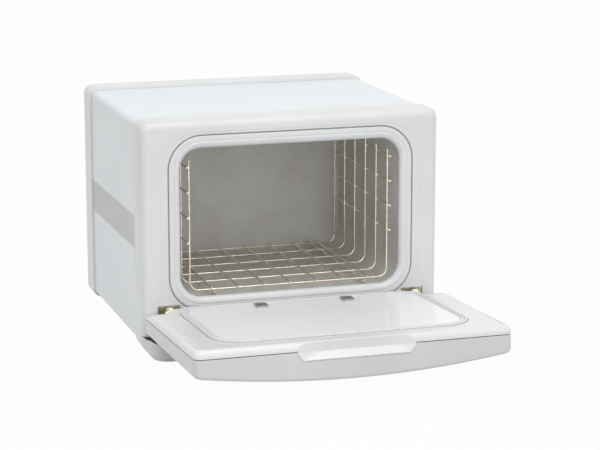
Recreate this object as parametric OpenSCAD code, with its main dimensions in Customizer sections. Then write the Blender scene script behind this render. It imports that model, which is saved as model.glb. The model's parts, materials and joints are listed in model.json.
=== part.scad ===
// Hot towel warmer: a bench-top heated cabinet with a drop-down door, a wire rack,
// a drip tray under the door, and the heater and wiring behind the chamber.
// X runs across, +Y to the back, +Z up. The origin is on the surface it stands on.

/* [Cabinet] */
// Width across the front frame, the rear cover and the door
cabinet_w = 450; // [440:1:480]
// Height of the front frame and the rear cover
cabinet_h = 336.4; // [330:0.2:370]
// Depth from the front face to the back
cabinet_d = 394.4; // [380:0.2:440]
// Depth of the front frame
frame_d = 47; // [40:1:56]
// Depth of the rear cover
rear_d = 48; // [40:1:56]
// Corner radius of the frame and the cover
corner_r = 14; // [13:0.5:18]
// Softening of the front edge of the frame
frame_soft = 12; // [8:0.5:13]
// Softening of the back edge of the rear cover
rear_soft = 9; // [7:0.5:13]
// Thickness of the moulded walls
mould_t = 3; // [2.5:0.1:3.5]
// How far the side sheets lie inside the frame
step_side = 3; // [2.4:0.1:4]
// How far the top and bottom sheets lie inside the frame
step_top = 4.4; // [3:0.1:6]
// Thickness of the casing sheet
sheet_t = 1.2; // [0.8:0.1:1.6]
// Bend radius of the casing sheet
sheet_r = 10; // [6:0.5:12]
// Depth that the sheets reach into the frame and the cover
tuck = 6; // [4:0.5:9]
// Height of the lower edge of the side band above the frame's lower edge
band_low = 143; // [120:1:160]
// Height of the side band
band_h = 47.6; // [40:0.2:60]

/* [Opening and chamber] */
// Width of the frame beside the cut-out
frame_side = 39.5; // [38:0.5:44]
// Height of the frame above the cut-out
frame_head = 21.5; // [20:0.5:30]
// Height of the cut-out's lower edge above the frame's lower edge
opening_low = 56.6; // [55.5:0.1:58]
// Corner radius of the cut-out
opening_r = 51; // [49:1:53]
// Gap between the frame and the ring
ring_gap = 1.2; // [0.8:0.1:1.6]
// Width of the ring at the sides
ring_side = 17.8; // [15:0.1:20]
// Width of the ring above and below
ring_top = 18.7; // [17:0.1:20]
// Radius of the rolled lip round the mouth
lip_r = 4; // [3:0.1:5]
// How much wider than the mouth the chamber is, each way
chamber_grow = 5; // [3:0.1:6]
// Depth behind the chamber for the wool, the bulkhead and the wiring
back_room = 94.4; // [92:0.2:110]
// Thickness of the chamber sheet
chamber_t = 1.2; // [0.8:0.1:1.6]
// Thickness of the heater sheet under the chamber
heater_t = 1.4; // [1:0.1:2]
// Thickness of the insulation
wool_t = 12; // [8:0.5:14]

/* [Door] */
// How far the closed door stands up above the frame
door_over = 6; // [2:0.5:8]
// Distance of the hinge axis in front of the face
hinge_out = 10.8; // [10:0.1:12]
// Height of the hinge axis above the frame's lower edge
hinge_up = 58.4; // [57:0.1:60]
// Height of the inner face over the hinge axis
face_over = 8.8; // [8:0.1:9.2]
// How far the door reaches behind the hinge axis
door_heel = 5.4; // [4:0.1:6]
// Angle by which the free end of the open door stands above level
open_tilt = 2.8; // [2:0.1:4]
// Thickness of the inner panel down to the parting line
panel_t = 12.2; // [11:0.1:13]
// Softening of the inner panel's edges
panel_soft = 9; // [7:0.5:9.5]
// Depth of the outer shell at the sides by the hinge
shell_heel_side = 23; // [20:0.5:24]
// Depth of the outer shell in the middle by the hinge
shell_heel_mid = 28; // [26:0.5:29]
// Depth of the outer shell at the sides by the free end
shell_tip_side = 26; // [22:0.5:28]
// Depth of the outer shell in the middle by the free end
shell_tip_mid = 43; // [38:0.5:46]
// Wall of the door mouldings
door_t = 2.5; // [2:0.1:3]
// Width of the gasket
gasket_w = 11; // [9:0.5:13]
// Length of the gasket's frame from the hinge side to the free end
gasket_l = 243.4; // [241:0.1:245]
// Distance of the gasket's middle from the hinge axis
gasket_up = 133.5; // [132.5:0.1:134.5]
// Corner radius of the gasket
gasket_r = 46; // [44:1:47]
// Height of the gasket
gasket_h = 2.1; // [1.6:0.1:2.4]
// Thickness of the glossy inner plate
plate_t = 1.2; // [0.8:0.1:1.6]
// Width of the grip pocket at the parting line
grip_w = 168; // [150:2:190]
// Depth of the grip pocket from the free end
grip_in = 20; // [14:1:24]
// Drop of the grip pocket below the inner face
grip_down = 25; // [20:1:26]

/* [Hinge] */
// Distance of each hinge's inner edge from the side of the frame
hinge_in = 56; // [55:1:57]
// Width of each hinge pocket
hinge_w = 34; // [33:1:35]
// Thickness of the hinge steel
hinge_t = 2; // [1.5:0.1:2.5]
// Diameter of the hinge pin
pin_d = 6; // [5:0.1:6.5]
// Running clearance round the pin
pin_fit = 0.1; // [0.05:0.01:0.12]
// Radius of the hinge ears
ear_r = 8; // [7:0.1:8.2]
// Wire diameter of the hinge spring
spring_wire = 1.4; // [1:0.1:1.5]
// Mean radius of the hinge spring
spring_r = 5; // [4.6:0.1:5.2]
// Number of turns in the hinge spring
spring_turns = 4; // [3:1:4]

/* [Rack] */
// Diameter of the rack wire
wire_d = 3; // [2.5:0.1:3.5]
// Gap between the rack and the chamber wall
rack_side_gap = 17; // [10:0.5:22]
// Gap between the rack and the lip that it is drawn out over
rack_lift = 6.1; // [4:0.1:8]
// Free height between the rack and the top of the mouth
rack_head = 26.4; // [22:0.2:60]
// Distance of the first hoop behind the front face
rack_front = 15; // [13:0.5:20]
// Distance of the last hoop from the back of the chamber
rack_end = 40; // [20:1:60]
// Number of hoops
hoops = 6; // [4:1:6]
// Distance between the side wires
rail_pitch = 37; // [32:0.5:40]

/* [Drip tray] */
// How far the tray stands out in front of the face
tray_out = 71; // [62:1:80]
// How far the tray reaches under the frame
tray_in = 14.7; // [13:0.1:18]
// Height of the tray's back above the frame's lower edge
tray_h = 22.8; // [20:0.2:23.4]
// How far the tray's bottom lies above the frame's lower edge
tray_low = 3; // [2:0.5:4]
// Softening of the tray's lower edges
tray_soft = 8; // [6:0.5:10]
// How much higher the tray stands at its front corners
tray_cheek = 2; // [1:0.5:2.5]
// Corner radius of the tray
tray_r = 25; // [18:1:30]
// Wall of the tray
tray_t = 2.5; // [2:0.1:3]

/* [Base and fittings] */
// Free height under the frame
stand = 10; // [8:0.5:14]
// Radius of the rubber feet
foot_r = 12; // [10:0.5:14]
// Distance of the feet from the sides
foot_in = 42; // [36:1:50]
// Radius of the threads
screw_r = 2; // [1.75:0.05:2.25]
// Clearance round fitted pieces
fit = 0.2; // [0.15:0.05:0.3]

/* [Hidden] */
$fn = 64;
eps = 0.01;
sides = [-1, 1];
grey_light = "#c9ccce";
grey_mid = "#bcbcb8";
pale = "#e4eaea";
steel = "#c4c6c8";
zinc = "#c9b25e";

// Places along the depth, measured from the front face of the frame
rear_y = cabinet_d - rear_d;
shell_y0 = frame_d - tuck;
shell_y1 = rear_y + tuck;

// Heights above the surface that the cabinet stands on
frame_z = stand;
shell_z = frame_z + step_top;
shell_h = cabinet_h - 2 * step_top;
shell_w = cabinet_w - 2 * step_side;
band_z = frame_z + band_low;
opening_z = frame_z + opening_low;

// The cut-out, the ring in it and the mouth inside the ring
opening_w = cabinet_w - 2 * frame_side;
opening_h = cabinet_h - opening_low - frame_head;
ring_w = opening_w - 2 * ring_gap;
ring_h = opening_h - 2 * ring_gap;
ring_z = opening_z + ring_gap;
ring_r = opening_r - ring_gap;
ring_y0 = 0.3;
ring_y1 = ring_y0 + 2 * lip_r + 0.5;
ring_lap = 3;
lap = ring_lap + ring_gap;
mouth_w = ring_w - 2 * ring_side;
mouth_h = ring_h - 2 * ring_top;
mouth_z = ring_z + ring_top;
mouth_r = ring_r - (ring_side + ring_top) / 2;

// The chamber and what is wrapped round it
chamber_d = cabinet_d - back_room;
chamber_w = mouth_w + 2 * chamber_grow - 4;
chamber_h = mouth_h + 2 * chamber_grow - 2;
chamber_z = mouth_z - chamber_grow;
chamber_r = mouth_r + 3;
chamber_y0 = ring_y1 + chamber_t;
heater_off = chamber_t + fit;
wool_off = heater_off + heater_t + fit;
sleeve_off = wool_off + wool_t;
sleeve_y0 = chamber_y0 + 4;
back_y0 = chamber_d + chamber_t + fit;
back_y1 = back_y0 + wool_t;
bulk_y0 = back_y1 + 12;
bulk_y1 = bulk_y0 + sheet_t;

// The hinge axis and the door, measured from the hinge axis
hinge_z = frame_z + hinge_up;
hinge_x = cabinet_w / 2 - hinge_in;
door_reach = cabinet_h + door_over - hinge_up;
hinge_xc = hinge_x + hinge_w / 2;
ear_x = hinge_x + hinge_w - 12;
door_w = cabinet_w;
panel_low = face_over - panel_t;
tip_y = -door_reach;
door_len = door_reach + door_heel;
door_mid = (door_heel - door_reach) / 2;
door_r = 11;
reach_out = hinge_out + door_reach * cos(open_tilt) + (shell_tip_mid - panel_low - 6) * sin(open_tilt);
face_y = (reach_out - cabinet_d) / 2;

// The drip tray
tray_top = frame_z + tray_h;
tray_z = frame_z + tray_low;
tray_deep = tray_h + tray_cheek - tray_low;
tray_slope = atan(tray_cheek / (tray_out - tray_r));
tray_steps = 20;
tray_gap = 0.6;
arm_in = 75;
arm_x = cabinet_w / 2 - arm_in;
arm_w = 12;
arm_t = 5;
arm_z = shell_z + sheet_t + 3;
arm_y1 = 105;
arm_play = 0.3;
guide_t = 1.6;

// The rack
rack_w = chamber_w - 2 * rack_side_gap;
rack_h = mouth_h - rack_head;
hoop_pitch = (chamber_d - rack_front - rack_end) / (hoops - 1);
rack_z = mouth_z + rack_lift + wire_d / 2;
rack_r = 13;
rack_back = rack_front + (hoops - 1) * hoop_pitch;
rail_over = 4;
rail_down = 10;
rails = 4;
floor_wires = 7;
floor_less = 40;
runner_x = 115;
runner_y0 = rack_front - 3;
runner_y1 = chamber_d - 4;
rack_play = 0.1;
stud_r = 3;

// Wall clearances and softening
soft_less = 0.5;
ring_soft = 1.5;
web = 8;
web_t = 1.6;
bow_soft = 5;
bow_cut = 5;
bow_steps = 16;

// Screws
head_r = 3.6;
head_t = 2.2;
head_deep = 0.3;
bite_r = screw_r + 0.05;
small_r = 1.6;
boss_r = 4.5;

// Rear cover posts and vents
post_r = 6;
post_in = 24;
post_up = 26;
post_x = cabinet_w / 2 - post_in;
post_z = [frame_z + post_up, frame_z + cabinet_h - post_up];
vents = 8;
vent_x = 100;
vent_w = 68;
vent_h = 4;
vent_pitch = 9;
vent_top = 110.4;
vent_z = frame_z + cabinet_h - vent_top;

// Behind and under the chamber
chamber_back = chamber_d + chamber_t + fit;
heater_in = 12;
heater_up = 0.55;
cradle_x = 120;
cradle_l = 30;
cradle_front = 130;
cradle_back = 60;
cradle_y = [cradle_front, chamber_d - cradle_back];
sensor_z = chamber_z + chamber_h / 2;
thermo_x = -70;
thermo_r = 11;
thermo_t = 6.6;
fuse_x = 70;
fuse_w = 12;
fuse_l = 30;
fuse_r = 2.8;
fuse_top = sensor_z + fuse_l / 3;

// Terminals and wires
block_x = 60;
block_up = 60;
block_z = frame_z + block_up;
pole_pitch = 11;
pole_w = 9;
pole_h = 18;
pole_t = 16;
wire_hole_r = 9;
wire_y = bulk_y1 + 24;
wire_bend = 3;
wire_steps = 4;
loom_r = 1.4;

// Inlet
inlet_in = 75;
inlet_x = inlet_in - cabinet_w / 2;
inlet_up = 70;
inlet_z = frame_z + inlet_up;
inlet_w = 30;
inlet_h = 24;
inlet_deep = 28;
inlet_plate = 1.6;
inlet_screw_x = 20;
plate_w = 52;
plate_h = inlet_h + 4;
socket_w = 24;
socket_h = 17;
socket_deep = 18;

// Switch and lamp
switch_y = 100;
switch_drop = 63;
switch_z = band_z - switch_drop;
switch_w = 21;
switch_h = 30;
switch_rim = 2;
switch_deep = 22;
rocker_tilt = 8;
rocker_in = 2;
rocker_w = switch_w - 4.8;
rocker_h = 11.6;
pivot_r = 1.4;
pivot_y = switch_w / 2 - 0.9;
lamp_up = 34;
lamp_z = switch_z + lamp_up;
lamp_r = 5;

// Feet
foot_front = 80;
foot_back = 90;
foot_y = [foot_front, cabinet_d - foot_back];
foot_recess = 4;

// Hinges
slot_down = 8;
slot_up = 9.5;
bracket_low = 17;
bracket_bite = 2.1;
bracket_screw_x = [hinge_x - 6, hinge_x + hinge_w + 6];
bracket_screw_z = hinge_z - 12.5;
ear_room = 1.5;
leaf_x = hinge_x + 4;
leaf_low = panel_low - fit - hinge_t;
leaf_y0 = -46;
leaf_r = 7.4;
leaf_screw_x = [hinge_x + 7, hinge_x + hinge_w - 8];
leaf_screw_y = -36;
bush_l = 7;
bush_r = pin_d / 2 + 1.5;
spring_steps = 16;
spring_sides = 6;
spring_pitch = spring_wire + 0.45;
spring_x = leaf_x + bush_l + 1.2;

// Door fittings
catch_in = 23;
catch_down = 44;
catch_x = cabinet_w / 2 - catch_in;
catch_up = door_reach - catch_down;
catch_half = 10;
magnet_r = 8;
grip_taper = 20;
grip_ledge = 9;
groove_in = 10;
groove_back = 52;
groove_x = door_w / 2 - groove_in;
groove_y = tip_y + groove_back;
groove_w = 6;
groove_l = 84;
groove_deep = 0.8;
foam_in = 35;
foam_half = door_w / 2 - foam_in;
gasket_wide = ring_w + 0.8;
gasket_soft = 1.6;
notch_x = 66;
notch_w = 16;

module at_face() {
    translate([0, face_y, 0]) children();
}

// Turns an outline in X and Y into a slab standing up between two depths
module upright(y0, y1) {
    translate([0, y1, 0]) rotate([90, 0, 0]) linear_extrude(y1 - y0) children();
}

module round_rect(w, h, r) {
    square([w - 2 * r, h], center = true);
    square([w, h - 2 * r], center = true);
    for (x = sides, y = sides) translate([x * (w / 2 - r), y * (h / 2 - r)]) circle(r);
}

// A rounded outline whose lower edge is at a height
module outline(w, h, low, r) {
    translate([0, low + h / 2]) round_rect(w, h, r);
}

// A round disc whose upper rim is softened
module soft_button(r, e) {
    translate([0, 0, -e]) rotate_extrude() {
        square([r - e, e]);
        translate([r - e, 0]) intersection() {
            circle(e);
            square(e);
        }
    }
}

// A slab with rounded corners whose top edge is softened all round, its top at zero
module soft_slab(w, l, r, e, t) {
    translate([0, 0, -t]) linear_extrude(t - e) round_rect(w, l, r);
    translate([0, 0, -t]) linear_extrude(t) round_rect(w - 2 * e, l - 2 * e, max(r - e, 0.5));
    for (x = sides, y = sides) translate([x * (w / 2 - r), y * (l / 2 - r), 0]) soft_button(r, e);
    intersection() {
        union() {
            for (y = sides) translate([0, y * (l / 2 - e), -e]) rotate([0, 90, 0])
                cylinder(r = e, h = w - 2 * r, center = true);
            for (x = sides) translate([x * (w / 2 - e), 0, -e]) rotate([90, 0, 0])
                cylinder(r = e, h = l - 2 * r, center = true);
        }
        translate([-w, -l, -t]) cube([2 * w, 2 * l, t + 1]);
    }
}

// The same slab standing up with its softened side to the front
module front_slab(w, h, low, r, e, y0, y1) {
    translate([0, y0, low + h / 2]) rotate([90, 0, 0]) soft_slab(w, h, r, e, y1 - y0);
}

module back_slab(w, h, low, r, e, y0, y1) {
    translate([0, y1, low + h / 2]) rotate([-90, 0, 0]) soft_slab(w, h, r, e, y1 - y0);
}

// A round bead that follows a rounded rectangle lying flat
module bead(w, l, r, b) {
    for (y = sides) translate([0, y * l / 2, 0]) rotate([0, 90, 0])
        cylinder(r = b, h = w - 2 * r, center = true);
    for (x = sides) translate([x * w / 2, 0, 0]) rotate([90, 0, 0])
        cylinder(r = b, h = l - 2 * r, center = true);
    for (k = [0:3]) {
        cx = (k == 0 || k == 3 ? 1 : -1) * (w / 2 - r);
        cy = (k < 2 ? 1 : -1) * (l / 2 - r);
        translate([cx, cy, 0]) rotate([0, 0, k * 90])
            rotate_extrude(angle = 90) translate([r, 0]) circle(b);
    }
}

module along_x(r, x0, x1) {
    translate([x0, 0, 0]) rotate([0, 90, 0]) cylinder(r = r, h = x1 - x0);
}

module along_y(r, y0, y1) {
    translate([0, y0, 0]) rotate([-90, 0, 0]) cylinder(r = r, h = y1 - y0);
}

module block(x, y, z) {
    translate([x[0], y[0], z[0]]) cube([x[1] - x[0], y[1] - y[0], z[1] - z[0]]);
}

// The sheet casing, cut by the side band into an upper and a lower part
module casing_tube() {
    upright(shell_y0, shell_y1) difference() {
        outline(shell_w, shell_h, shell_z, sheet_r);
        outline(shell_w - 2 * sheet_t, shell_h - 2 * sheet_t, shell_z + sheet_t, sheet_r - sheet_t);
    }
}

module upper_shell() color(pale) at_face() difference() {
    casing_tube();
    block([-cabinet_w, cabinet_w], [0, cabinet_d], [0, band_z + band_h + fit]);
}

module lower_shell() color(pale) at_face() difference() {
    casing_tube();
    block([-cabinet_w, cabinet_w], [0, cabinet_d], [band_z - fit, cabinet_h + stand]);
    block([0, cabinet_w], [switch_y - switch_w / 2 - fit, switch_y + switch_w / 2 + fit],
        [switch_z - switch_h / 2 - fit, switch_z + switch_h / 2 + fit]);
    translate([0, switch_y, lamp_z]) along_x(lamp_r + fit, 0, cabinet_w);
    for (x = sides, y = foot_y) translate([x * (shell_w / 2 - foot_in), y, 0])
        cylinder(r = screw_r + fit, h = shell_z + sheet_t + 1);
}

// A strip between the two casing sheets with a rear web that laps behind them
module side_band() {
    face = shell_w / 2;
    seat = face - sheet_t;
    block([seat, face], [shell_y0, shell_y1], [band_z, band_z + band_h]);
    block([seat - fit - web_t, seat], [shell_y0, shell_y1], [band_z + 1, band_z + band_h - 1]);
    block([seat - fit - web_t, seat - fit], [shell_y0, shell_y1], [band_z - web, band_z + band_h + web]);
}

module side_band_left() color(grey_mid) at_face() mirror([1, 0, 0]) side_band();

module side_band_right() color(grey_mid) at_face() side_band();

// The space that the drip tray takes out of the foot of the frame, grown by a wall
module tray_recess(grow) {
    block([-cabinet_w, cabinet_w], [-1, tray_in + fit + grow], [0, tray_top + tray_gap + grow]);
}

module frame_hollow() {
    side = step_side - fit;
    top = step_top - fit;
    front_slab(cabinet_w - 2 * side, cabinet_h - 2 * top, frame_z + top, sheet_r + fit,
        frame_soft - mould_t - soft_less, mould_t, frame_d + 1);
}

module tray_arm_holes() {
    for (x = sides) translate([x * arm_x, 0, arm_z]) block([-arm_w / 2 - tray_gap, arm_w / 2 + tray_gap],
        [tray_in, tray_in + 8], [-tray_gap, arm_t + tray_gap]);
}

// Front frame moulding with the cut-out, the hinge slots and the place for the tray
module front_frame() color(grey_light) at_face() difference() {
    front_slab(cabinet_w, cabinet_h, frame_z, corner_r, frame_soft, 0, frame_d);
    difference() {
        frame_hollow();
        tray_recess(mould_t);
    }
    tray_recess(0);
    upright(-1, mould_t + 1) outline(opening_w, opening_h, opening_z, opening_r);
    for (x = sides) translate([x * hinge_xc, 0, hinge_z])
        block([-hinge_w / 2, hinge_w / 2], [-1, mould_t + 1], [-slot_down, slot_up]);
    tray_arm_holes();
    for (x = sides, s = bracket_screw_x) translate([x * s, 0, bracket_screw_z])
        along_y(bite_r, mould_t - bracket_bite, mould_t + 1);
}

module rear_cover() color(grey_light) at_face() difference() {
    side = step_side - fit;
    top = step_top - fit;
    union() {
        difference() {
            back_slab(cabinet_w, cabinet_h, frame_z, corner_r, rear_soft, rear_y, cabinet_d);
            back_slab(cabinet_w - 2 * side, cabinet_h - 2 * top, frame_z + top, sheet_r + fit,
                rear_soft - mould_t - soft_less, rear_y - 1, cabinet_d - mould_t);
        }
        cover_posts(post_r, bulk_y1);
    }
    cover_posts(bite_r, bulk_y1 - 1);
    at_posts() along_y(head_r + fit, cabinet_d - head_t - head_deep, cabinet_d + 1);
    translate([inlet_x, 0, inlet_z]) {
        inlet_block(inlet_w / 2 + fit, inlet_h / 2 + fit, rear_y, cabinet_d + 1);
        inlet_block(plate_w / 2 + fit, plate_h / 2 + fit, cabinet_d - inlet_plate, cabinet_d + 1);
        for (x = sides) translate([x * inlet_screw_x, 0, 0]) along_y(small_r, rear_y, cabinet_d + 1);
    }
    for (i = [0:vents - 1], x = sides) translate([x * vent_x, 0, vent_z + i * vent_pitch])
        block([-vent_w / 2, vent_w / 2], [rear_y, cabinet_d + 1], [0, vent_h]);
}

// Four posts carry the cover on the bulkhead
module at_posts() {
    for (x = sides, z = post_z) translate([x * post_x, 0, z]) children();
}

module cover_posts(r, y0) {
    at_posts() along_y(r, y0, cabinet_d - 1);
}

module inlet_block(half_w, half_h, y0, y1) {
    block([-half_w, half_w], [y0, y1], [-half_h, half_h]);
}

module rear_cover_screws() color(steel) at_face() {
    at_posts() {
        along_y(screw_r, bulk_y0 - 4, cabinet_d - head_t - head_deep);
        along_y(head_r, cabinet_d - head_t - head_deep, cabinet_d - head_deep);
    }
}

module rear_bulkhead() color(steel) at_face() difference() {
    inset = sheet_t + fit;
    upright(bulk_y0, bulk_y1)
        outline(shell_w - 2 * inset, shell_h - 2 * inset, shell_z + inset, sheet_r - inset);
    at_posts() along_y(bite_r, bulk_y0 - 1, bulk_y1 + 1);
    for (x = sides) translate([x * (shell_w / 2 - sheet_t), 0, 0])
        block([-3, 3], [bulk_y0 - 1, bulk_y1 + 1], [band_z - web - 1, band_z + band_h + web + 1]);
    translate([0, 0, sensor_z]) along_y(wire_hole_r, bulk_y0 - 1, bulk_y1 + 1);
    for (x = sides) translate([block_x + x * 2 * pole_pitch, 0, block_z])
        along_y(small_r, bulk_y0 - 1, bulk_y1 + 1);
}

// Ring round the mouth with a lap behind the frame and a rolled lip
module lap_outline(grow) {
    off = lap + grow;
    outline(ring_w + 2 * off, ring_h + 2 * off, ring_z - off, ring_r + off);
}

module opening_ring() color(grey_light) at_face() {
    difference() {
        union() {
            front_slab(ring_w, ring_h, ring_z, ring_r, ring_soft, ring_y0, ring_y1);
            upright(mould_t + fit, ring_y1) lap_outline(0);
        }
        upright(-1, ring_y1 + 1) outline(mouth_w + 2 * lip_r, mouth_h + 2 * lip_r, mouth_z - lip_r,
            mouth_r + lip_r);
    }
    translate([0, ring_y0 + lip_r, mouth_z + mouth_h / 2]) rotate([90, 0, 0])
        bead(mouth_w + 2 * lip_r, mouth_h + 2 * lip_r, mouth_r + lip_r, lip_r);
    upright(ring_y0 + lip_r, ring_y1) difference() {
        outline(mouth_w + 2 * lip_r + eps, mouth_h + 2 * lip_r + eps, mouth_z - lip_r, mouth_r + lip_r);
        outline(mouth_w + 2, mouth_h + 2, mouth_z - 1, mouth_r + 1);
    }
}

// Outline of the chamber grown by a distance
module chamber_outline(off) {
    outline(chamber_w + 2 * off, chamber_h + 2 * off, chamber_z - off, chamber_r + off);
}

// The flat of the chamber's floor between the two lower bends, grown by a distance
module floor_flat(grow) {
    half = chamber_w / 2 - chamber_r - eps + grow;
    block([-half, half], [chamber_y0, chamber_d + grow], [chamber_z - chamber_t - grow, chamber_z + grow]);
}

// Walls and roof bent from one sheet with the front flange, over a floor sheet
module chamber_wrap() color(steel) at_face() {
    upright(ring_y1, chamber_y0) difference() {
        outline(ring_w, ring_h, ring_z, ring_r);
        chamber_outline(0);
    }
    difference() {
        upright(chamber_y0 - eps, chamber_d) chamber_outline(chamber_t);
        upright(ring_y1, chamber_d + 1) chamber_outline(0);
        floor_flat(fit);
    }
}

module chamber_floor() color(steel) at_face() floor_flat(0);

module chamber_back() color(steel) at_face() upright(chamber_d, chamber_d + chamber_t)
    chamber_outline(chamber_t);

module heater_sheet() color("darkorange") at_face() difference() {
    upright(sleeve_y0 + heater_in, chamber_d - heater_in) difference() {
        chamber_outline(heater_off + heater_t);
        chamber_outline(heater_off);
    }
    block([-cabinet_w, cabinet_w], [0, cabinet_d], [chamber_z + heater_up * chamber_h, cabinet_h + stand]);
}

module insulation_sleeve() color("gold") at_face() upright(sleeve_y0, chamber_d + chamber_t)
    difference() {
        chamber_outline(sleeve_off);
        chamber_outline(wool_off);
    }

module insulation_back() color("gold") at_face() difference() {
    upright(back_y0, back_y1) chamber_outline(sleeve_off);
    translate([thermo_x, 0, sensor_z]) along_y(thermo_r + 3, back_y0 - 1, back_y1 + 1);
    translate([fuse_x, 0, sensor_z]) block([-fuse_w / 2 - 2, fuse_w / 2 + 2], [back_y0 - 1, back_y1 + 1],
        [-fuse_l / 2 - 3, fuse_l / 2 + 19]);
}

// Two folded channels carry the insulated chamber on the casing floor
module chamber_cradles() color(steel) at_face() {
    low = shell_z + sheet_t + fit;
    high = chamber_z - sleeve_off - fit;
    for (y = cradle_y) {
        block([-cradle_x, cradle_x], [y, y + cradle_l], [low, low + sheet_t]);
        block([-cradle_x, cradle_x], [y, y + sheet_t], [low, high]);
        block([-cradle_x, cradle_x], [y, y + cradle_l], [high - sheet_t, high]);
    }
}

// A disc thermostat with two flat terminals, on the back of the chamber
module thermostat() color("dimgray") at_face() translate([thermo_x, chamber_back, sensor_z]) {
    along_y(thermo_r, 0, thermo_t);
    along_y(thermo_r - 3, thermo_t, thermo_t + 5);
    for (x = sides) translate([x * 5, thermo_t + 5, 0]) block([-0.4, 0.4], [0, 6], [-3, 3]);
}

// A tubular cut-out on its foot, beside the thermostat
module thermal_fuse() color("ivory") at_face() translate([fuse_x, chamber_back, sensor_z]) {
    block([-fuse_w / 2, fuse_w / 2], [0, 3], [-fuse_l / 2, fuse_l / 2]);
    translate([0, 3 + fuse_r - 0.2, -fuse_l / 3]) cylinder(r = fuse_r, h = fuse_l * 2 / 3);
}

// Five poles on a common base, screwed to the bulkhead
module terminal_block() color("ivory") at_face() translate([block_x, bulk_y1, block_z]) difference() {
    union() {
        block([-2.7 * pole_pitch, 2.7 * pole_pitch], [0, pole_t / 2], [-pole_h / 2, pole_h / 2]);
        for (i = [-2:2]) translate([i * pole_pitch, 0, 0])
            block([-pole_w / 2, pole_w / 2], [pole_t / 2 - eps, pole_t], [-pole_h / 2, pole_h / 2]);
    }
    for (i = [-2:2]) translate([i * pole_pitch, 0, 0]) along_y(2, pole_t / 2 + 1, pole_t + 1);
    for (x = sides) translate([x * 2 * pole_pitch, 0, 0]) along_y(small_r, -1, pole_t + 1);
}

// Wires from the inlet and the switch to the terminals and on to the sensors
function corner(a, b, c, t) = let(p = b + wire_bend * unit(a - b), q = b + wire_bend * unit(c - b))
    (1 - t) * (1 - t) * p + 2 * t * (1 - t) * b + t * t * q;
function rounded_route(p) = concat([p[0]],
    [for (i = [1:len(p) - 2], k = [0:wire_steps]) corner(p[i - 1], p[i], p[i + 1], k / wire_steps)],
    [p[len(p) - 1]]);

inlet_routes = [for (i = [0, 1])
    let(from = inlet_x + 5 - i * 10, to = block_x - (1 + i) * pole_pitch, y = wire_y - i * 4) [
        [from, cabinet_d - inlet_deep, inlet_z],
        [from, y, inlet_z],
        [to, y, block_z],
        [to, bulk_y1 + pole_t, block_z]]];
sensor_route = [
    [block_x, bulk_y1 + pole_t, block_z],
    [block_x, wire_y, block_z],
    [0, wire_y, sensor_z],
    [0, bulk_y0 - 5, sensor_z],
    [fuse_x, bulk_y0 - 5, fuse_top + 16],
    [fuse_x, chamber_d + 8, fuse_top + 16],
    [fuse_x, chamber_d + 8, fuse_top]];

module wiring_loom() color("white") at_face()
    for (route = concat(inlet_routes, [sensor_route]))
        swept_wire(rounded_route(route), loom_r, 8);

// Three-pole inlet in the back
module power_inlet() color("black") at_face() translate([inlet_x, 0, inlet_z]) difference() {
    union() {
        inlet_block(inlet_w / 2, inlet_h / 2, cabinet_d - inlet_deep, cabinet_d);
        inlet_block(plate_w / 2, plate_h / 2, cabinet_d - inlet_plate, cabinet_d);
    }
    inlet_block(socket_w / 2, socket_h / 2, cabinet_d - socket_deep, cabinet_d + 1);
    for (x = sides) translate([x * inlet_screw_x, 0, 0]) along_y(small_r, cabinet_d - 3, cabinet_d + 1);
}

// Rocker switch on the right-hand side, seen from the front
module switch_box(x, grow) {
    block(x, [-switch_w / 2 - grow, switch_w / 2 + grow], [-switch_h / 2 - grow, switch_h / 2 + grow]);
}

module switch_housing() color("black") at_face() translate([shell_w / 2, switch_y, switch_z]) difference() {
    union() {
        switch_box([-switch_deep, 0], 0);
        switch_box([0, switch_rim], switch_rim);
    }
    switch_box([-12, switch_rim + 1], -switch_rim);
    translate([-rocker_in, 0, 0]) along_y(pivot_r + pin_fit, -pivot_y - 0.3, pivot_y + 0.3);
}

// Rocker with a dished face, turning on two stubs in the sides of the housing
module switch_rocker() color("firebrick") at_face()
    translate([shell_w / 2 - rocker_in, switch_y, switch_z]) rotate([0, rocker_tilt, 0]) {
        translate([0, rocker_w / 2, 0]) rotate([90, 0, 0]) linear_extrude(rocker_w)
            polygon([[-8, 0], [-3, rocker_h], [2.6, rocker_h], [1.6, 0], [2.6, -rocker_h], [-3, -rocker_h]]);
        along_y(pivot_r, -pivot_y, pivot_y);
    }

module pilot_lamp() color("orange") at_face() translate([shell_w / 2, switch_y, lamp_z]) {
    along_x(lamp_r, -16, 0.4);
    rotate([0, 90, 0]) cylinder(r1 = lamp_r + 1.5, r2 = lamp_r - 0.5, h = 2.4);
}

module foot_places() {
    for (x = sides, y = foot_y) translate([x * (shell_w / 2 - foot_in), y, 0]) children();
}

module rubber_feet() color("dimgray") at_face() foot_places() difference() {
    cylinder(r1 = foot_r - 1, r2 = foot_r, h = shell_z);
    translate([0, 0, -1]) cylinder(r = head_r + 0.6, h = foot_recess + 1);
    cylinder(r = screw_r + fit, h = shell_z + 1);
}

module foot_screws() color(steel) at_face() foot_places() {
    translate([0, 0, foot_recess - head_t]) cylinder(r = head_r, h = head_t);
    translate([0, 0, foot_recess - eps]) cylinder(r = screw_r, h = shell_z + sheet_t + 1 - foot_recess);
}

// Channels on the casing floor that the tray's arms slide in
module tray_guides() color("whitesmoke") at_face() for (x = sides) translate([x * arm_x, 0, 0]) difference() {
    block([-arm_w / 2 - 3, arm_w / 2 + 3], [frame_d + 1, arm_y1 + 8],
        [shell_z + sheet_t, arm_z + arm_t + arm_play + guide_t]);
    block([-arm_w / 2 - arm_play, arm_w / 2 + arm_play], [frame_d, arm_y1 + 4],
        [arm_z - arm_play, arm_z + arm_t + arm_play]);
}

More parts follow.
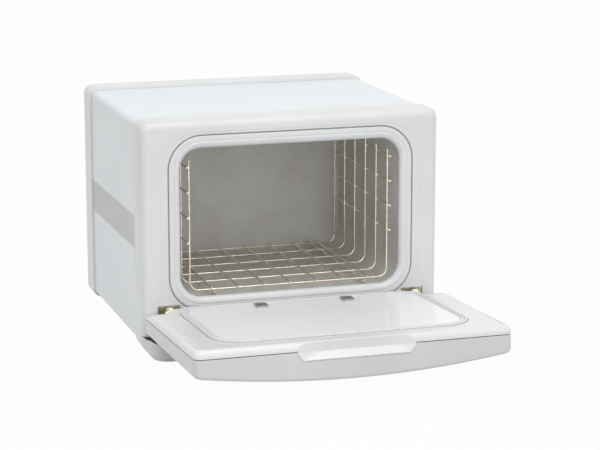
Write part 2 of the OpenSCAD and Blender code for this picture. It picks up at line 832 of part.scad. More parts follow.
// Hinge bracket behind the face, cut round the ring's lap, with an ear that comes out through the slot
module hinge_bracket() difference() {
    union() {
        block([hinge_x - 11, hinge_x + hinge_w + 11], [mould_t, mould_t + hinge_t],
            [hinge_z - bracket_low, hinge_z - slot_down - 0.5]);
        block([hinge_x - 3, hinge_x + hinge_w + 3], [mould_t, mould_t + hinge_t],
            [hinge_z - bracket_low, hinge_z + slot_up + 1]);
        block([ear_x, ear_x + hinge_t], [-hinge_out, mould_t + hinge_t], [hinge_z - ear_r, hinge_z + ear_r]);
        translate([0, -hinge_out, hinge_z]) along_x(ear_r, ear_x, ear_x + hinge_t);
    }
    translate([0, -hinge_out, hinge_z]) along_x(pin_d / 2, ear_x - 1, ear_x + hinge_t + 1);
    for (s = bracket_screw_x) translate([s, 0, bracket_screw_z]) along_y(screw_r + fit, 0, 9);
    upright(mould_t - eps, mould_t + hinge_t + 1) lap_outline(fit);
}

module hinge_bracket_left() color(zinc) at_face() mirror([1, 0, 0]) hinge_bracket();

module hinge_bracket_right() color(zinc) at_face() hinge_bracket();

module bracket_screws() color(steel) at_face() for (x = sides, s = bracket_screw_x)
    translate([x * s, 0, bracket_screw_z]) {
        along_y(screw_r, mould_t - bracket_bite + 0.2, mould_t + hinge_t + eps);
        along_y(head_r, mould_t + hinge_t, mould_t + hinge_t + head_t);
    }

// Headed pins through the bracket ear into the bush of the leaf
module hinge_pins() color(steel) at_face() for (x = sides) mirror([x < 0 ? 1 : 0, 0, 0])
    translate([0, -hinge_out, hinge_z]) {
        along_x(pin_d / 2, leaf_x - 2, ear_x + hinge_t + eps);
        along_x(pin_d / 2 + 2, ear_x + hinge_t, ear_x + hinge_t + 2);
    }

// Spring coil as one tube swept along a helix, with a leg back to the bracket
function coil_point(t, x0, pitch) = [x0 + pitch * t, spring_r * cos(360 * t), spring_r * sin(360 * t)];
spring_path = concat(
    [[spring_x, spring_r, -4]],
    [for (i = [0:spring_steps * spring_turns]) coil_point(i / spring_steps, spring_x, spring_pitch)],
    [[spring_x + spring_pitch * spring_turns, spring_r, 4],
        [spring_x + spring_pitch * spring_turns, hinge_out + 1.6, 8]]);

function unit(v) = v / norm(v);
function lead(p, i) = unit(p[min(i + 1, len(p) - 1)] - p[max(i - 1, 0)]);

module swept_wire(p, r, n) {
    rings = [for (i = [0:len(p) - 1])
        let(d = lead(p, i), u = unit(cross(d, [1, 0.02, 0.03])), v = cross(d, u))
            [for (k = [0:n - 1]) p[i] + r * (cos(360 * k / n) * u + sin(360 * k / n) * v)]];
    points = [for (ring = rings, q = ring) q];
    last = len(p) - 1;
    quads = [for (i = [0:last - 1], k = [0:n - 1]) let(a = i * n + k, b = i * n + (k + 1) % n)
        [a, b, b + n, a + n]];
    tris = [for (q = quads, h = [0, 1]) h == 0 ? [q[0], q[2], q[1]] : [q[0], q[3], q[2]]];
    first_cap = [for (k = [1:n - 2]) [0, k, k + 1]];
    last_cap = [for (k = [1:n - 2]) [last * n, last * n + k + 1, last * n + k]];
    polyhedron(points, concat(tris, first_cap, last_cap));
}

module hinge_springs() color(steel) at_face() for (x = sides) mirror([x < 0 ? 1 : 0, 0, 0])
    translate([0, -hinge_out, hinge_z]) swept_wire(spring_path, spring_wire / 2, spring_sides);

// Steel strips behind the face that the door magnets hold on to
module catch_plates() color(steel) at_face() for (x = sides)
    translate([x * catch_x, 0, hinge_z + catch_up])
        block([-catch_half, catch_half], [mould_t, mould_t + 1.5], [-1.5 * catch_half, 1.5 * catch_half]);

// Everything on the door is drawn from the hinge axis with the door lying level
module on_door() {
    at_face() translate([0, -hinge_out, hinge_z]) rotate([-open_tilt, 0, 0]) children();
}

module flat_slab(w, l, yc, top, r, e, t) {
    translate([0, yc, top]) soft_slab(w, l, r, e, t);
}

// Finger pocket in the free end, a wedge with rounded edges, grown by a wall
module grip_pocket(grow) {
    r = 3;
    top = face_over - 2.5 - r;
    low = face_over - grip_down + r;
    half = grip_w / 2 - r;
    corners = [
        [half, tip_y - 8, top + 4],
        [half - 7, tip_y - 8, low],
        [half - 6, tip_y + 4 - r, top + 2],
        [half - grip_taper, tip_y + grip_in - r, low + grip_ledge]];
    hull() for (x = sides, c = corners) translate([x * c[0], c[1], c[2]]) sphere(r + grow, $fn = 24);
}

// Pocket in the heel of the door round each hinge
module hinge_pockets(grow, low) {
    for (x = sides) translate([x * hinge_xc, 0, 0]) block([-hinge_w / 2 - grow, hinge_w / 2 + grow],
        [-ear_r - ear_room - grow, door_heel + 1], [low, face_over + 1]);
}

module at_leaf_screws() {
    for (x = sides, s = leaf_screw_x) translate([x * s, leaf_screw_y, 0]) children();
}

module door_inner_panel() color("whitesmoke") on_door() difference() {
    union() {
        difference() {
            flat_slab(door_w, door_len, door_mid, face_over, door_r, panel_soft, panel_t);
            flat_slab(door_w - 2 * door_t, door_len - 2 * door_t, door_mid, face_over - door_t,
                door_r - 1, panel_soft - door_t, panel_t);
        }
        intersection() {
            grip_pocket(door_t);
            block([-door_w, door_w], [tip_y, 0], [panel_low - shell_tip_mid, face_over - 1]);
            door_plan(0);
        }
        at_leaf_screws() translate([0, 0, panel_low]) cylinder(r = boss_r, h = panel_t - door_t + 0.5);
        intersection() {
            hinge_pockets(door_t, panel_low);
            flat_slab(door_w, door_len, door_mid, face_over, door_r, panel_soft, panel_t);
        }
    }
    grip_pocket(0);
    hinge_pockets(0, panel_low - 1);
    at_leaf_screws() translate([0, 0, panel_low - 1]) cylinder(r = screw_r, h = 9);
    for (x = sides) translate([x * groove_x, groove_y, face_over - groove_deep])
        linear_extrude(2) round_rect(groove_w, groove_l, groove_w / 2 - 0.1);
}

// Outline of the bowed outer shell across the door at one place along it
function bow_radius(half, rise) = (half * half + rise * rise) / (2 * rise);
function bow_drop(x, half, side, mid) = let(R = bow_radius(half, mid - side)) mid - R + sqrt(R * R - x * x);
module bow_slice(y, half, side, mid, lift, cut) {
    pts = concat([[-half, 0]], [[-half, -side + cut + lift]],
        [for (i = [0:bow_steps]) let(x = (half - cut) * (2 * i / bow_steps - 1))
            [x, -bow_drop(x, half, side, mid) + lift]],
        [[half, -side + cut + lift]], [[half, 0]]);
    translate([0, y, panel_low]) rotate([90, 0, 0]) linear_extrude(eps) polygon(pts);
}

// The bowed body of the outer shell, shrunk by a wall for the hollow
module bow_body(in) {
    half = door_w / 2 - in;
    hull() {
        bow_slice(door_heel - in, half, shell_heel_side, shell_heel_mid, in + bow_soft, bow_cut);
        bow_slice(door_heel - in - bow_soft, half, shell_heel_side, shell_heel_mid, in, bow_cut);
        bow_slice(tip_y + in + bow_soft, half, shell_tip_side, shell_tip_mid, in, bow_cut);
        bow_slice(tip_y + in + eps, half, shell_tip_side, shell_tip_mid, in + bow_soft, bow_cut);
    }
}

// The door's plan drawn as a block through the whole depth of the shell
module door_plan(in) {
    deep = shell_tip_mid + 2;
    translate([0, door_mid, panel_low - deep]) linear_extrude(2 * deep)
        round_rect(door_w - 2 * in, door_len - 2 * in, door_r - in);
}

module door_outer_shell() color(grey_light) on_door() difference() {
    intersection() {
        bow_body(0);
        door_plan(0);
    }
    intersection() {
        translate([0, 0, 10 * eps]) bow_body(door_t);
        door_plan(door_t);
    }
    grip_pocket(door_t + fit);
    hinge_pockets(0, -ear_r - ear_room);
}

module door_foam() color("khaki") on_door() block([-foam_half, foam_half],
    [tip_y + grip_in + 16, leaf_y0 - 5], [panel_low - 9, face_over - door_t]);

// Soft frame round the plate, with two notches where condensed water runs off
module door_gasket() color("lightgray") on_door() translate([0, -gasket_up, face_over]) difference() {
    translate([0, 0, gasket_h]) soft_slab(gasket_wide, gasket_l, gasket_r, gasket_soft, gasket_h);
    translate([0, 0, -1]) linear_extrude(5)
        round_rect(gasket_wide - 2 * gasket_w, gasket_l - 2 * gasket_w, gasket_r - gasket_w);
    for (x = sides) translate([x * notch_x, (gasket_l - gasket_w) / 2, 0])
        block([-notch_w / 2, notch_w / 2], [-gasket_w, gasket_w], [0.9, 5]);
}

module door_plate() color("white") on_door() translate([0, -gasket_up, face_over]) linear_extrude(plate_t)
    round_rect(gasket_wide - 2 * (gasket_w + fit), gasket_l - 2 * (gasket_w + fit),
        gasket_r - gasket_w - fit);

module door_magnets() color("dimgray") on_door() for (x = sides)
    translate([x * catch_x, -catch_up, face_over - door_t - 4]) cylinder(r = magnet_r, h = 4);

module hinge_leaf() difference() {
    union() {
        block([hinge_x - 1, hinge_x + hinge_w - 1], [leaf_y0, -ear_r - ear_room],
            [leaf_low, leaf_low + hinge_t]);
        block([leaf_x, leaf_x + hinge_t], [-ear_r - 4, -ear_r + 3], [leaf_low, leaf_low + hinge_t]);
        block([leaf_x, leaf_x + hinge_t], [-ear_r - 1.2, -ear_r + 3], [leaf_low, pin_d / 2]);
        along_x(leaf_r, leaf_x, leaf_x + hinge_t);
    }
    along_x(bush_r, leaf_x - 1, leaf_x + hinge_t + 1);
    for (s = leaf_screw_x) translate([s, leaf_screw_y, leaf_low - 1]) cylinder(r = screw_r + fit, h = 4);
}

module hinge_leaf_left() color(zinc) on_door() mirror([1, 0, 0]) hinge_leaf();

module hinge_leaf_right() color(zinc) on_door() hinge_leaf();

module leaf_screws() color(steel) on_door() at_leaf_screws() {
    translate([0, 0, leaf_low - head_t]) cylinder(r = head_r, h = head_t);
    translate([0, 0, leaf_low - eps]) cylinder(r = screw_r - 0.05, h = hinge_t + fit + 7);
}

// White bushes pressed into the leaves
module hinge_bushes() color("white") on_door() for (x = sides) mirror([x < 0 ? 1 : 0, 0, 0]) difference() {
    union() {
        along_x(bush_r, leaf_x, leaf_x + hinge_t);
        along_x(bush_r + 1.5, leaf_x + hinge_t, leaf_x + bush_l);
    }
    along_x(pin_d / 2 + pin_fit, leaf_x - 1, leaf_x + bush_l + 1);
}

// Drip tray with a trough, hooked under the frame by two arms
module tray_body(in) {
    past = 2 * tray_r;
    intersection() {
        translate([0, (tray_in + past - tray_out) / 2, tray_z + in]) mirror([0, 0, 1])
            soft_slab(cabinet_w - 2 * in, tray_out + tray_in + past - 2 * in, tray_r - in, tray_soft - in,
                tray_deep + in);
        block([-cabinet_w, cabinet_w], [-cabinet_d, tray_in - in], [0, tray_z + tray_deep + 2 * in]);
    }
}

// Everything above the rim, which rises to the front corners and dips in the middle
module above_rim() {
    half = cabinet_w / 2 + 1;
    line = [for (i = [0:tray_steps]) let(x = 2 * i / tray_steps - 1) [x * half, tray_cheek * x * x]];
    translate([0, 0, tray_top]) {
        upright(-tray_out - 1, -eps) polygon(concat([[-half, 2 * tray_deep]], line, [[half, 2 * tray_deep]]));
        rotate([-tray_slope, 0, 0]) block([-half, half], [-2 * tray_out, 0], [0, 2 * tray_deep]);
        block([-half, half], [-1, cabinet_d], [0, 2 * tray_deep]);
    }
}

module drip_tray() color(grey_light) at_face() {
    difference() {
        tray_body(0);
        tray_body(tray_t);
        above_rim();
    }
    for (x = sides) translate([x * arm_x, 0, arm_z])
        block([-arm_w / 2, arm_w / 2], [tray_in - eps, arm_y1], [0, arm_t]);
}

// One wire hoop, open at the top, in the plane of the chamber's section
module hoop(y) {
    half = rack_w / 2 - wire_d / 2;
    r = wire_d / 2;
    top = rack_z + rack_h;
    for (x = sides) translate([x * half, y, rack_z + rack_r]) cylinder(r = r, h = top - rack_z - rack_r);
    for (x = sides) translate([x * half, y, top]) sphere(r);
    translate([0, y, rack_z]) along_x(r, -half + rack_r, half - rack_r);
    for (x = sides) translate([x * (half - rack_r), y, rack_z + rack_r]) rotate([90, 0, 0])
        mirror([x < 0 ? 1 : 0, 0, 0]) rotate([0, 0, -90])
            rotate_extrude(angle = 90) translate([rack_r, 0]) circle(r);
}

module rack_hoops() color(steel) at_face() {
    for (i = [0:hoops - 1]) hoop(rack_front + i * hoop_pitch);
}

// Two wires on the chamber floor that the rack stands and slides on
module rack_runners() color(steel) at_face() for (x = sides) translate([x * runner_x, 0, 0]) {
    z = rack_z - wire_d - rack_play;
    translate([0, 0, z]) along_y(wire_d / 2, runner_y0, runner_y1);
    for (y = [runner_y0 + 6, runner_y1 - 6]) translate([0, y, chamber_z])
        cylinder(r = stud_r, h = z - chamber_z);
}

module rail(x, z, y0, y1) {
    translate([x, 0, z]) along_y(wire_d / 2, y0, y1);
}

module rack_rails() color(steel) at_face() {
    half = rack_w / 2 + wire_d / 2;
    top = rack_z + rack_h - rail_down;
    for (x = sides, i = [0:rails - 1])
        rail(x * half, top - i * rail_pitch, rack_front - rail_over, rack_back + rail_over);
}

module rack_floor_wires() color(steel) at_face() {
    span = rack_w - 2 * rack_r - floor_less;
    gaps = floor_wires - 1;
    for (i = [0:gaps])
        rail(span * (i / gaps - 0.5), rack_z + wire_d, rack_front - rail_over, rack_back + rail_over);
}

upper_shell();
lower_shell();
side_band_left();
side_band_right();
front_frame();
rear_cover();
rear_cover_screws();
opening_ring();
chamber_wrap();
chamber_floor();
chamber_back();
heater_sheet();
insulation_sleeve();
insulation_back();
chamber_cradles();
rear_bulkhead();
thermostat();
thermal_fuse();
terminal_block();
wiring_loom();
power_inlet();
switch_housing();
switch_rocker();
pilot_lamp();
rubber_feet();
foot_screws();
tray_guides();
hinge_bracket_left();
hinge_bracket_right();
bracket_screws();
hinge_pins();
hinge_springs();
catch_plates();
door_inner_panel();
door_outer_shell();
door_foam();
door_plate();
door_gasket();
door_magnets();
hinge_leaf_left();
hinge_leaf_right();
leaf_screws();
hinge_bushes();
drip_tray();
rack_hoops();
rack_rails();
rack_floor_wires();
rack_runners();
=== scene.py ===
# Hot towel warmer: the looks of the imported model, built round its fixed frame.
import json
import math

import bmesh
import bpy
from mathutils import Matrix, Vector


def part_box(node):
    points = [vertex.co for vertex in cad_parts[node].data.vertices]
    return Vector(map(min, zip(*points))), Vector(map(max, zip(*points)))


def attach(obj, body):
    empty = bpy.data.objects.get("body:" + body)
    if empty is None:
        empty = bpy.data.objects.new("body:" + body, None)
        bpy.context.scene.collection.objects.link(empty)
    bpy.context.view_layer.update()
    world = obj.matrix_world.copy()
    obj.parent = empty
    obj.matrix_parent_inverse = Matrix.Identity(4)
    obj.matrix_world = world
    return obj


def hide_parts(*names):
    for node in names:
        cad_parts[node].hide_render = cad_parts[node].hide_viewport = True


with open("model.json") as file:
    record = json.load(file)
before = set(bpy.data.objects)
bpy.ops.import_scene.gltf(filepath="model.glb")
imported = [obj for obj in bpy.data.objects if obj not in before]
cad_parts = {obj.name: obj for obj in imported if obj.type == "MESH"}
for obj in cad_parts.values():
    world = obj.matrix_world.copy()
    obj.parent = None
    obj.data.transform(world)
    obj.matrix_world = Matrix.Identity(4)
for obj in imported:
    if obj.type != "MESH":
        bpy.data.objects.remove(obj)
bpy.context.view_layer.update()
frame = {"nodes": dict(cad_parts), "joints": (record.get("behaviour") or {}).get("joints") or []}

# Camera at the photograph's viewpoint: in front, a little to the left and above, and far enough
# away for a long lens. It looks down and to the right by these angles in degrees.
look_down, look_right = 12.31, 17.38
camera = bpy.data.objects.new("camera", bpy.data.cameras.new("camera"))
camera.data.sensor_width = 36.0
camera.data.lens = 127.8
camera.data.clip_end = 50.0
camera.location = (-0.8943, -2.9427, 0.8458)
camera.rotation_euler = (math.radians(90.0 - look_down), 0.0, math.radians(-look_right))
bpy.context.scene.collection.objects.link(camera)
bpy.context.scene.camera = camera
bpy.context.scene.view_settings.view_transform = "Standard"


# Floor and backdrop: a plain pale studio sheet that the camera and the reflections see
# as white, and that still takes the soft shadow under the cabinet.
def colour(code):
    """Turns an sRGB hex value into linear red, green, blue and alpha."""
    parts = [int(code[i:i + 2], 16) / 255.0 for i in (1, 3, 5)]
    return tuple(c / 12.92 if c <= 0.04045 else ((c + 0.055) / 1.055) ** 2.4 for c in parts) + (1.0,)


def add(tree, kind, values=None, links=None, **settings):
    """Adds one node, sets its properties and input values, and links outputs into it."""
    node = tree.nodes.new(kind)
    for name, value in settings.items():
        setattr(node, name, value)
    for name, value in (values or {}).items():
        node.inputs[name].default_value = value
    for name, output in (links or {}).items():
        tree.links.new(output, node.inputs[name])
    return node


def new_finish(name):
    """An empty material of that name, with its node tree."""
    finish = bpy.data.materials.new(name)
    finish.use_nodes = True
    finish.node_tree.nodes.clear()
    return finish, finish.node_tree


def clear_view(tree):
    """Gives 1 for a ray from the camera, or from a glossy or clear surface, and otherwise 0."""
    rays = add(tree, "ShaderNodeLightPath").outputs
    seen = rays["Is Camera Ray"]
    for kind in ("Is Glossy Ray", "Is Transmission Ray"):
        seen = add(tree, "ShaderNodeMath", {}, {0: seen, 1: rays[kind]}, operation="MAXIMUM").outputs[0]
    return seen


# The clear view sees this share of white and the rest of the sheet with its shadow.
white, white_share = (1.0, 1.0, 1.0, 1.0), 0.97
floor_finish, tree = new_finish("studio_paper")
paper = add(tree, "ShaderNodeBsdfDiffuse", {"Color": colour("#d6d6d6")})
glow = add(tree, "ShaderNodeEmission", {"Color": white, "Strength": 1.0})
share = add(tree, "ShaderNodeMath", {1: white_share}, {0: clear_view(tree)}, operation="MULTIPLY")
both = add(tree, "ShaderNodeMixShader", {},
           {"Fac": share.outputs[0], 1: paper.outputs[0], 2: glow.outputs[0]})
add(tree, "ShaderNodeOutputMaterial", {}, {"Surface": both.outputs[0]})
sheet_half, sheet_front, sheet_back = 12.0, -6.0, 16.0
corners = [(-sheet_half, sheet_front, 0.0), (sheet_half, sheet_front, 0.0),
           (sheet_half, sheet_back, 0.0), (-sheet_half, sheet_back, 0.0)]
mesh = bpy.data.meshes.new("studio_floor")
mesh.from_pydata(corners, [], [(0, 1, 2, 3)])
mesh.materials.append(floor_finish)
floor = bpy.data.objects.new("studio_floor", mesh)
bpy.context.scene.collection.objects.link(floor)

# Studio light: a pale, even room that lights from all sides, one large lamp above the cabinet
# for the soft shadow under it, and a weaker one in front that reaches into the chamber.
world = bpy.data.worlds.new("studio_light")
world.use_nodes = True
tree = world.node_tree
tree.nodes.clear()
room = add(tree, "ShaderNodeBackground", {"Color": colour("#f7f7f7"), "Strength": 0.75})
backdrop = add(tree, "ShaderNodeBackground", {"Color": white, "Strength": 1.0})
both = add(tree, "ShaderNodeMixShader", {},
           {"Fac": clear_view(tree), 1: room.outputs[0], 2: backdrop.outputs[0]})
add(tree, "ShaderNodeOutputWorld", {}, {"Surface": both.outputs[0]})
bpy.context.scene.world = world

lamp_size, lamp_aim = 1.8, Vector((0.0, 0.0, 0.2))
for name, place, power in (("key_light", (-0.05, -1.3, 2.7), 25.5),
                           ("front_light", (-0.3, -3.0, 1.3), 13.0)):
    lamp = bpy.data.lights.new(name, "AREA")
    lamp.size = lamp_size
    lamp.energy = power
    holder = bpy.data.objects.new(name, lamp)
    holder.location = place
    holder.rotation_euler = (lamp_aim - Vector(place)).to_track_quat("-Z", "Y").to_euler()
    bpy.context.scene.collection.objects.link(holder)


# Casing: an upper and a lower steel sheet, bent round and powder coated pale grey, tucked
# into the front frame and the rear cover. The coat has a faint orange peel and satin gloss.
def dress(finish, *node_names):
    """Gives carried-over CAD nodes their finish."""
    for node_name in node_names:
        for entry in frame["nodes"][node_name].material_slots:
            entry.material = finish


def two_tone(tree, light, dark, pattern, low, high):
    """Runs from a light to a dark colour while a pattern rises from low to high."""
    shade = add(tree, "ShaderNodeMapRange", {1: low, 2: high}, {"Value": pattern})
    ends = {6: colour(light), 7: colour(dark)}
    return add(tree, "ShaderNodeMix", ends, {0: shade.outputs[0]}, data_type="RGBA")


def surface(tree, tint, rough, relief, values):
    """Ends a material with a shader that takes its colour, roughness, relief and constant values."""
    links = {"Base Color": tint.outputs[2], "Roughness": rough.outputs[0], "Normal": relief.outputs[0]}
    shader = add(tree, "ShaderNodeBsdfPrincipled", values, links)
    add(tree, "ShaderNodeOutputMaterial", {}, {"Surface": shader.outputs[0]})


def coated(name, light, dark, worn, patch_mm, grain_mm, depth_mm, gloss, values):
    """A surface with soft shade patches, fine grain and edges rubbed a little paler.

    Most grains are drawn a few times coarser than the real ones, so that they show."""
    finish, tree = new_finish(name)
    place = add(tree, "ShaderNodeTexCoord").outputs["Object"]
    soft = {"Scale": 1000.0 / patch_mm, "Detail": 4.0, "Roughness": 0.55}
    patches = add(tree, "ShaderNodeTexNoise", soft, {"Vector": place}).outputs["Fac"]
    tint = two_tone(tree, light, dark, patches, 0.35, 0.7)
    corners = add(tree, "ShaderNodeNewGeometry").outputs["Pointiness"]
    rubbed = add(tree, "ShaderNodeMapRange", {1: 0.52, 2: 0.6, 3: 0.0, 4: 0.25}, {"Value": corners})
    tint = add(tree, "ShaderNodeMix", {7: colour(worn)}, {0: rubbed.outputs[0], 6: tint.outputs[2]},
               data_type="RGBA")
    grain = add(tree, "ShaderNodeTexNoise", {"Scale": 1000.0 / grain_mm, "Detail": 3.0}, {"Vector": place})
    relief = add(tree, "ShaderNodeBump", {"Strength": 1.0, "Distance": depth_mm / 1000.0},
                 {"Height": grain.outputs["Fac"]})
    rough = add(tree, "ShaderNodeMapRange", {3: gloss[0], 4: gloss[1]}, {"Value": patches})
    surface(tree, tint, rough, relief, values)
    return finish


# Powder coat on steel: satin, with an orange peel of about 1.5 mm, drawn at 3 mm so that it shows.
powder_coat = coated("powder_coated_steel", "#e6ebee", "#dfe5e8", "#f4f6f6", 160.0, 3.0, 0.006,
                     (0.34, 0.46), {"IOR": 1.5, "Coat Weight": 0.15, "Coat Roughness": 0.3})
dress(powder_coat, "upper_shell", "lower_shell")


# Side bands: a plain strip of moulded plastic between the two sheets on each side, darker than
# the casing, pressed in from outside and hooked behind both edges.
# Moulded ABS with a spark-eroded grain of 0.6 mm, drawn at 0.9 mm so that it shows: matt. The
# guides of the drip tray are moulded of it too.
band_abs = coated("grained_abs_band", "#d1d2d2", "#cacbcb", "#dcdcdb", 90.0, 0.9, 0.012,
                  (0.5, 0.62), {"IOR": 1.52})
dress(band_abs, "side_band_left", "side_band_right", "tray_guides")


# Front frame: one injection moulding with a soft front edge, a shallow dished field round the
# cut-out, slots for the hinges and a recess at its foot for the drip tray.
def quarter(r, steps):
    """Rows of how far in and how far below the top a quarter round is, from its side to its top."""
    turn = [math.radians(90.0 * i / steps) for i in range(steps + 1)]
    return [(r * (1 - math.cos(a)), r * (1 - math.sin(a))) for a in turn]


def rounded(w, h, r, middle=0.0, bends=10, runs=1):
    """Points round a rounded rectangle; runs splits its straight sides."""
    corners = []
    r = max(min(r, w / 2, h / 2), 0.01)
    for k, (sx, sy) in enumerate(((1, 1), (-1, 1), (-1, -1), (1, -1))):
        turn = [math.radians(90 * k + 90.0 * i / bends) for i in range(bends + 1)]
        x, y = sx * (w / 2 - r), middle + sy * (h / 2 - r)
        corners.append([(x + r * math.cos(a), y + r * math.sin(a)) for a in turn])
    points = []
    for k in range(4):
        points += corners[k]
        (ax, ay), (bx, by) = corners[k][-1], corners[(k + 1) % 4][0]
        points += [(ax + (bx - ax) * i / runs, ay + (by - ay) * i / runs) for i in range(1, runs)]
    return points


def skin(loops, ring=False, form=None):
    """Joins loops of points into a ring that closes on itself or a body with two ends."""
    form = bmesh.new() if form is None else form
    rows = [[form.verts.new(point) for point in loop] for loop in loops]
    for first, second in zip(rows, rows[1:] + (rows[:1] if ring else [])):
        for i in range(len(first)):
            j = (i + 1) % len(first)
            form.faces.new((first[i], first[j], second[j], second[i]))
    if not ring:
        form.faces.new(rows[0][::-1])
        form.faces.new(rows[-1])
    return form


def block(form, low, high):
    """Adds a box between two corners."""
    spread = Matrix.Diagonal((*(high - low), 1.0))
    bmesh.ops.create_cube(form, size=1.0, matrix=Matrix.Translation((low + high) / 2) @ spread)


def carve(form, tool, how="DIFFERENCE"):
    """Cuts one form with another, or joins them, and gives back the result."""
    holders = []
    for part in (form, tool):
        bmesh.ops.recalc_face_normals(part, faces=part.faces)
        mesh = bpy.data.meshes.new("carving")
        part.to_mesh(mesh)
        part.free()
        holders.append(bpy.data.objects.new("carving", mesh))
        bpy.context.scene.collection.objects.link(holders[-1])
    cut = holders[0].modifiers.new("cut", "BOOLEAN")
    cut.object = holders[1]
    cut.operation = how
    cut.solver = "EXACT"
    result = bmesh.new()
    result.from_object(holders[0], bpy.context.evaluated_depsgraph_get())
    for holder in holders:
        bpy.data.objects.remove(holder)
    return result


def place_piece(name, data, finish, body, node_names):
    """Makes a piece that rides on a body, in place of the named nodes if there are any."""
    data.materials.append(finish)
    obj = bpy.data.objects.new(name, data)
    bpy.context.scene.collection.objects.link(obj)
    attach(obj, body)
    if node_names:
        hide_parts(*node_names)
    return obj


def piece(name, form, finish, body, slot, *node_names, sharp=30.0):
    """Makes a form into a smooth-shaded piece, with edges sharper than an angle kept crisp."""
    merge_gap = 2e-5
    bmesh.ops.remove_doubles(form, verts=form.verts, dist=merge_gap)
    bmesh.ops.triangulate(form, faces=[face for face in form.faces if len(face.verts) > 4])
    bmesh.ops.dissolve_degenerate(form, edges=form.edges, dist=merge_gap)
    bmesh.ops.recalc_face_normals(form, faces=form.faces)
    for face in form.faces:
        face.smooth = True
    for edge in form.edges:
        edge.smooth = len(edge.link_faces) == 2 and edge.calc_face_angle(0.0) < math.radians(sharp)
    mesh = bpy.data.meshes.new(name)
    form.to_mesh(mesh)
    form.free()
    obj = place_piece(name, mesh, finish, body, node_names)
    obj.modifiers.new("even_shading", "WEIGHTED_NORMAL").keep_sharp = True


face_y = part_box("front_frame")[0].y


def at_face(x, y, z):
    """A point in millimetres across, behind the front face and above the floor."""
    return Vector((x / 1000.0, face_y + y / 1000.0, z / 1000.0))


def upright(w, h, r, middle, y, across=0.0, **steps):
    """A rounded rectangle that stands at a depth behind the front face."""
    return [at_face(across + x, y, z) for x, z in rounded(w, h, r, middle, **steps)]


frame_w, frame_h, frame_mid, frame_deep = 450.0, 336.4, 178.2, 47.0
frame_r, frame_soft, frame_wall, rear_edge = 14.0, 12.0, 3.0, 0.6
open_w, open_h, open_mid, open_r = 371.0, 258.3, 195.75, 51.0
outside = [(frame_w, frame_h, frame_r, frame_mid, y) for y in (frame_deep - rear_edge, frame_soft)]
for inset, drop in quarter(frame_soft, 8)[1:]:
    outside.append((frame_w - 2 * inset, frame_h - 2 * inset, max(frame_r - inset, 2.5), frame_mid, drop))
# The dished field: distance from the cut-out beside it and above it, corner radius and depth.
field = ((11.6, 4.6, 57.0, 0.0), (11.3, 4.3, 56.8, 0.06), (10.8, 3.8, 56.4, 0.42), (10.5, 3.5, 56.0, 0.5),
         (1.3, 1.3, 52.3, 0.5), (0.6, 0.6, 51.6, 0.7), (0.2, 0.2, 51.2, 1.3), (0.0, 0.0, open_r, 2.1),
         (0.0, 0.0, open_r, frame_wall))
mouth = [(open_w + 2 * off, open_h + 2 * up, r, open_mid, y) for off, up, r, y in field]
# The hollow behind the face: how much narrower than its full size, corner radius and depth.
hollow_w, hollow_h = frame_w - 5.6, frame_h - 8.4
inner_faces = ((17.0, 3.0, frame_wall), (5.0, 7.0, frame_wall + 2.5), (0.0, 10.2, frame_wall + 8.5),
               (0.0, 10.2, frame_deep))
hollow = [(hollow_w - less, hollow_h - less, r, frame_mid, y) for less, r, y in inner_faces]
back_rim = (frame_w - 2 * rear_edge, frame_h - 2 * rear_edge, frame_r - rear_edge, frame_mid, frame_deep)
form = skin([upright(*row) for row in outside + mouth + hollow + [back_rim]], ring=True)

# The slots for the hinges and the recess for the tray, cut from ahead of the face.
slot_in, slot_out, slot_low, slot_high, slot_deep = 169.0, 203.0, 60.4, 77.9, 4.5
recess_top, recess_deep, recess_half, recess_low = 33.4, 14.9, 221.5, 14.3
arm_x, arm_slot = 150.0, 6.6
ahead, beyond = -2.0, 240.0
tool = bmesh.new()
for side in (-1, 1):
    left, right = sorted((side * slot_in, side * slot_out))
    block(tool, at_face(left, ahead, slot_low), at_face(right, slot_deep, slot_high))
block(tool, at_face(-beyond, ahead, 0.0), at_face(beyond, recess_deep, recess_top))
form = carve(form, tool)
# The recess's roof and its back wall, which is open where the tray's two arms pass.
ledge_deep, ledge_top = recess_deep + frame_wall, recess_top + frame_wall
block(form, at_face(-recess_half, frame_wall, recess_top), at_face(recess_half, ledge_deep, ledge_top))
arm_side, arm_far = arm_x - arm_slot, arm_x + arm_slot
for low, high in ((-recess_half, -arm_far), (-arm_side, arm_side), (arm_far, recess_half)):
    block(form, at_face(low, recess_deep, recess_low), at_face(high, ledge_deep, ledge_top))

# Injection-moulded ABS, pearl grey: semi-gloss skin with a very fine grain and soft flow shades.
frame_abs = coated("pearl_grey_abs", "#e1e2e3", "#dadbdc", "#f1f3f4", 120.0, 1.2, 0.004,
                   (0.27, 0.38), {"IOR": 1.52, "Coat Weight": 0.1, "Coat Roughness": 0.2})
piece("front_frame_moulding", form, frame_abs, "cabinet", "frame_plastic", "front_frame")


# Mouth ring: a separate moulding seated in the cut-out with a thin gap round it, softly crowned,
# with a fine groove and a rolled lip that closes on the chamber's flange.
ring_out = (367.6, 254.9, 49.3)
ring_in = (333.0, 218.5, 31.55)
lap, lap_front, lap_back = (377.0, 264.3, 54.0), 5.2, 8.8
crown, roll_deep = 0.3, 7.9
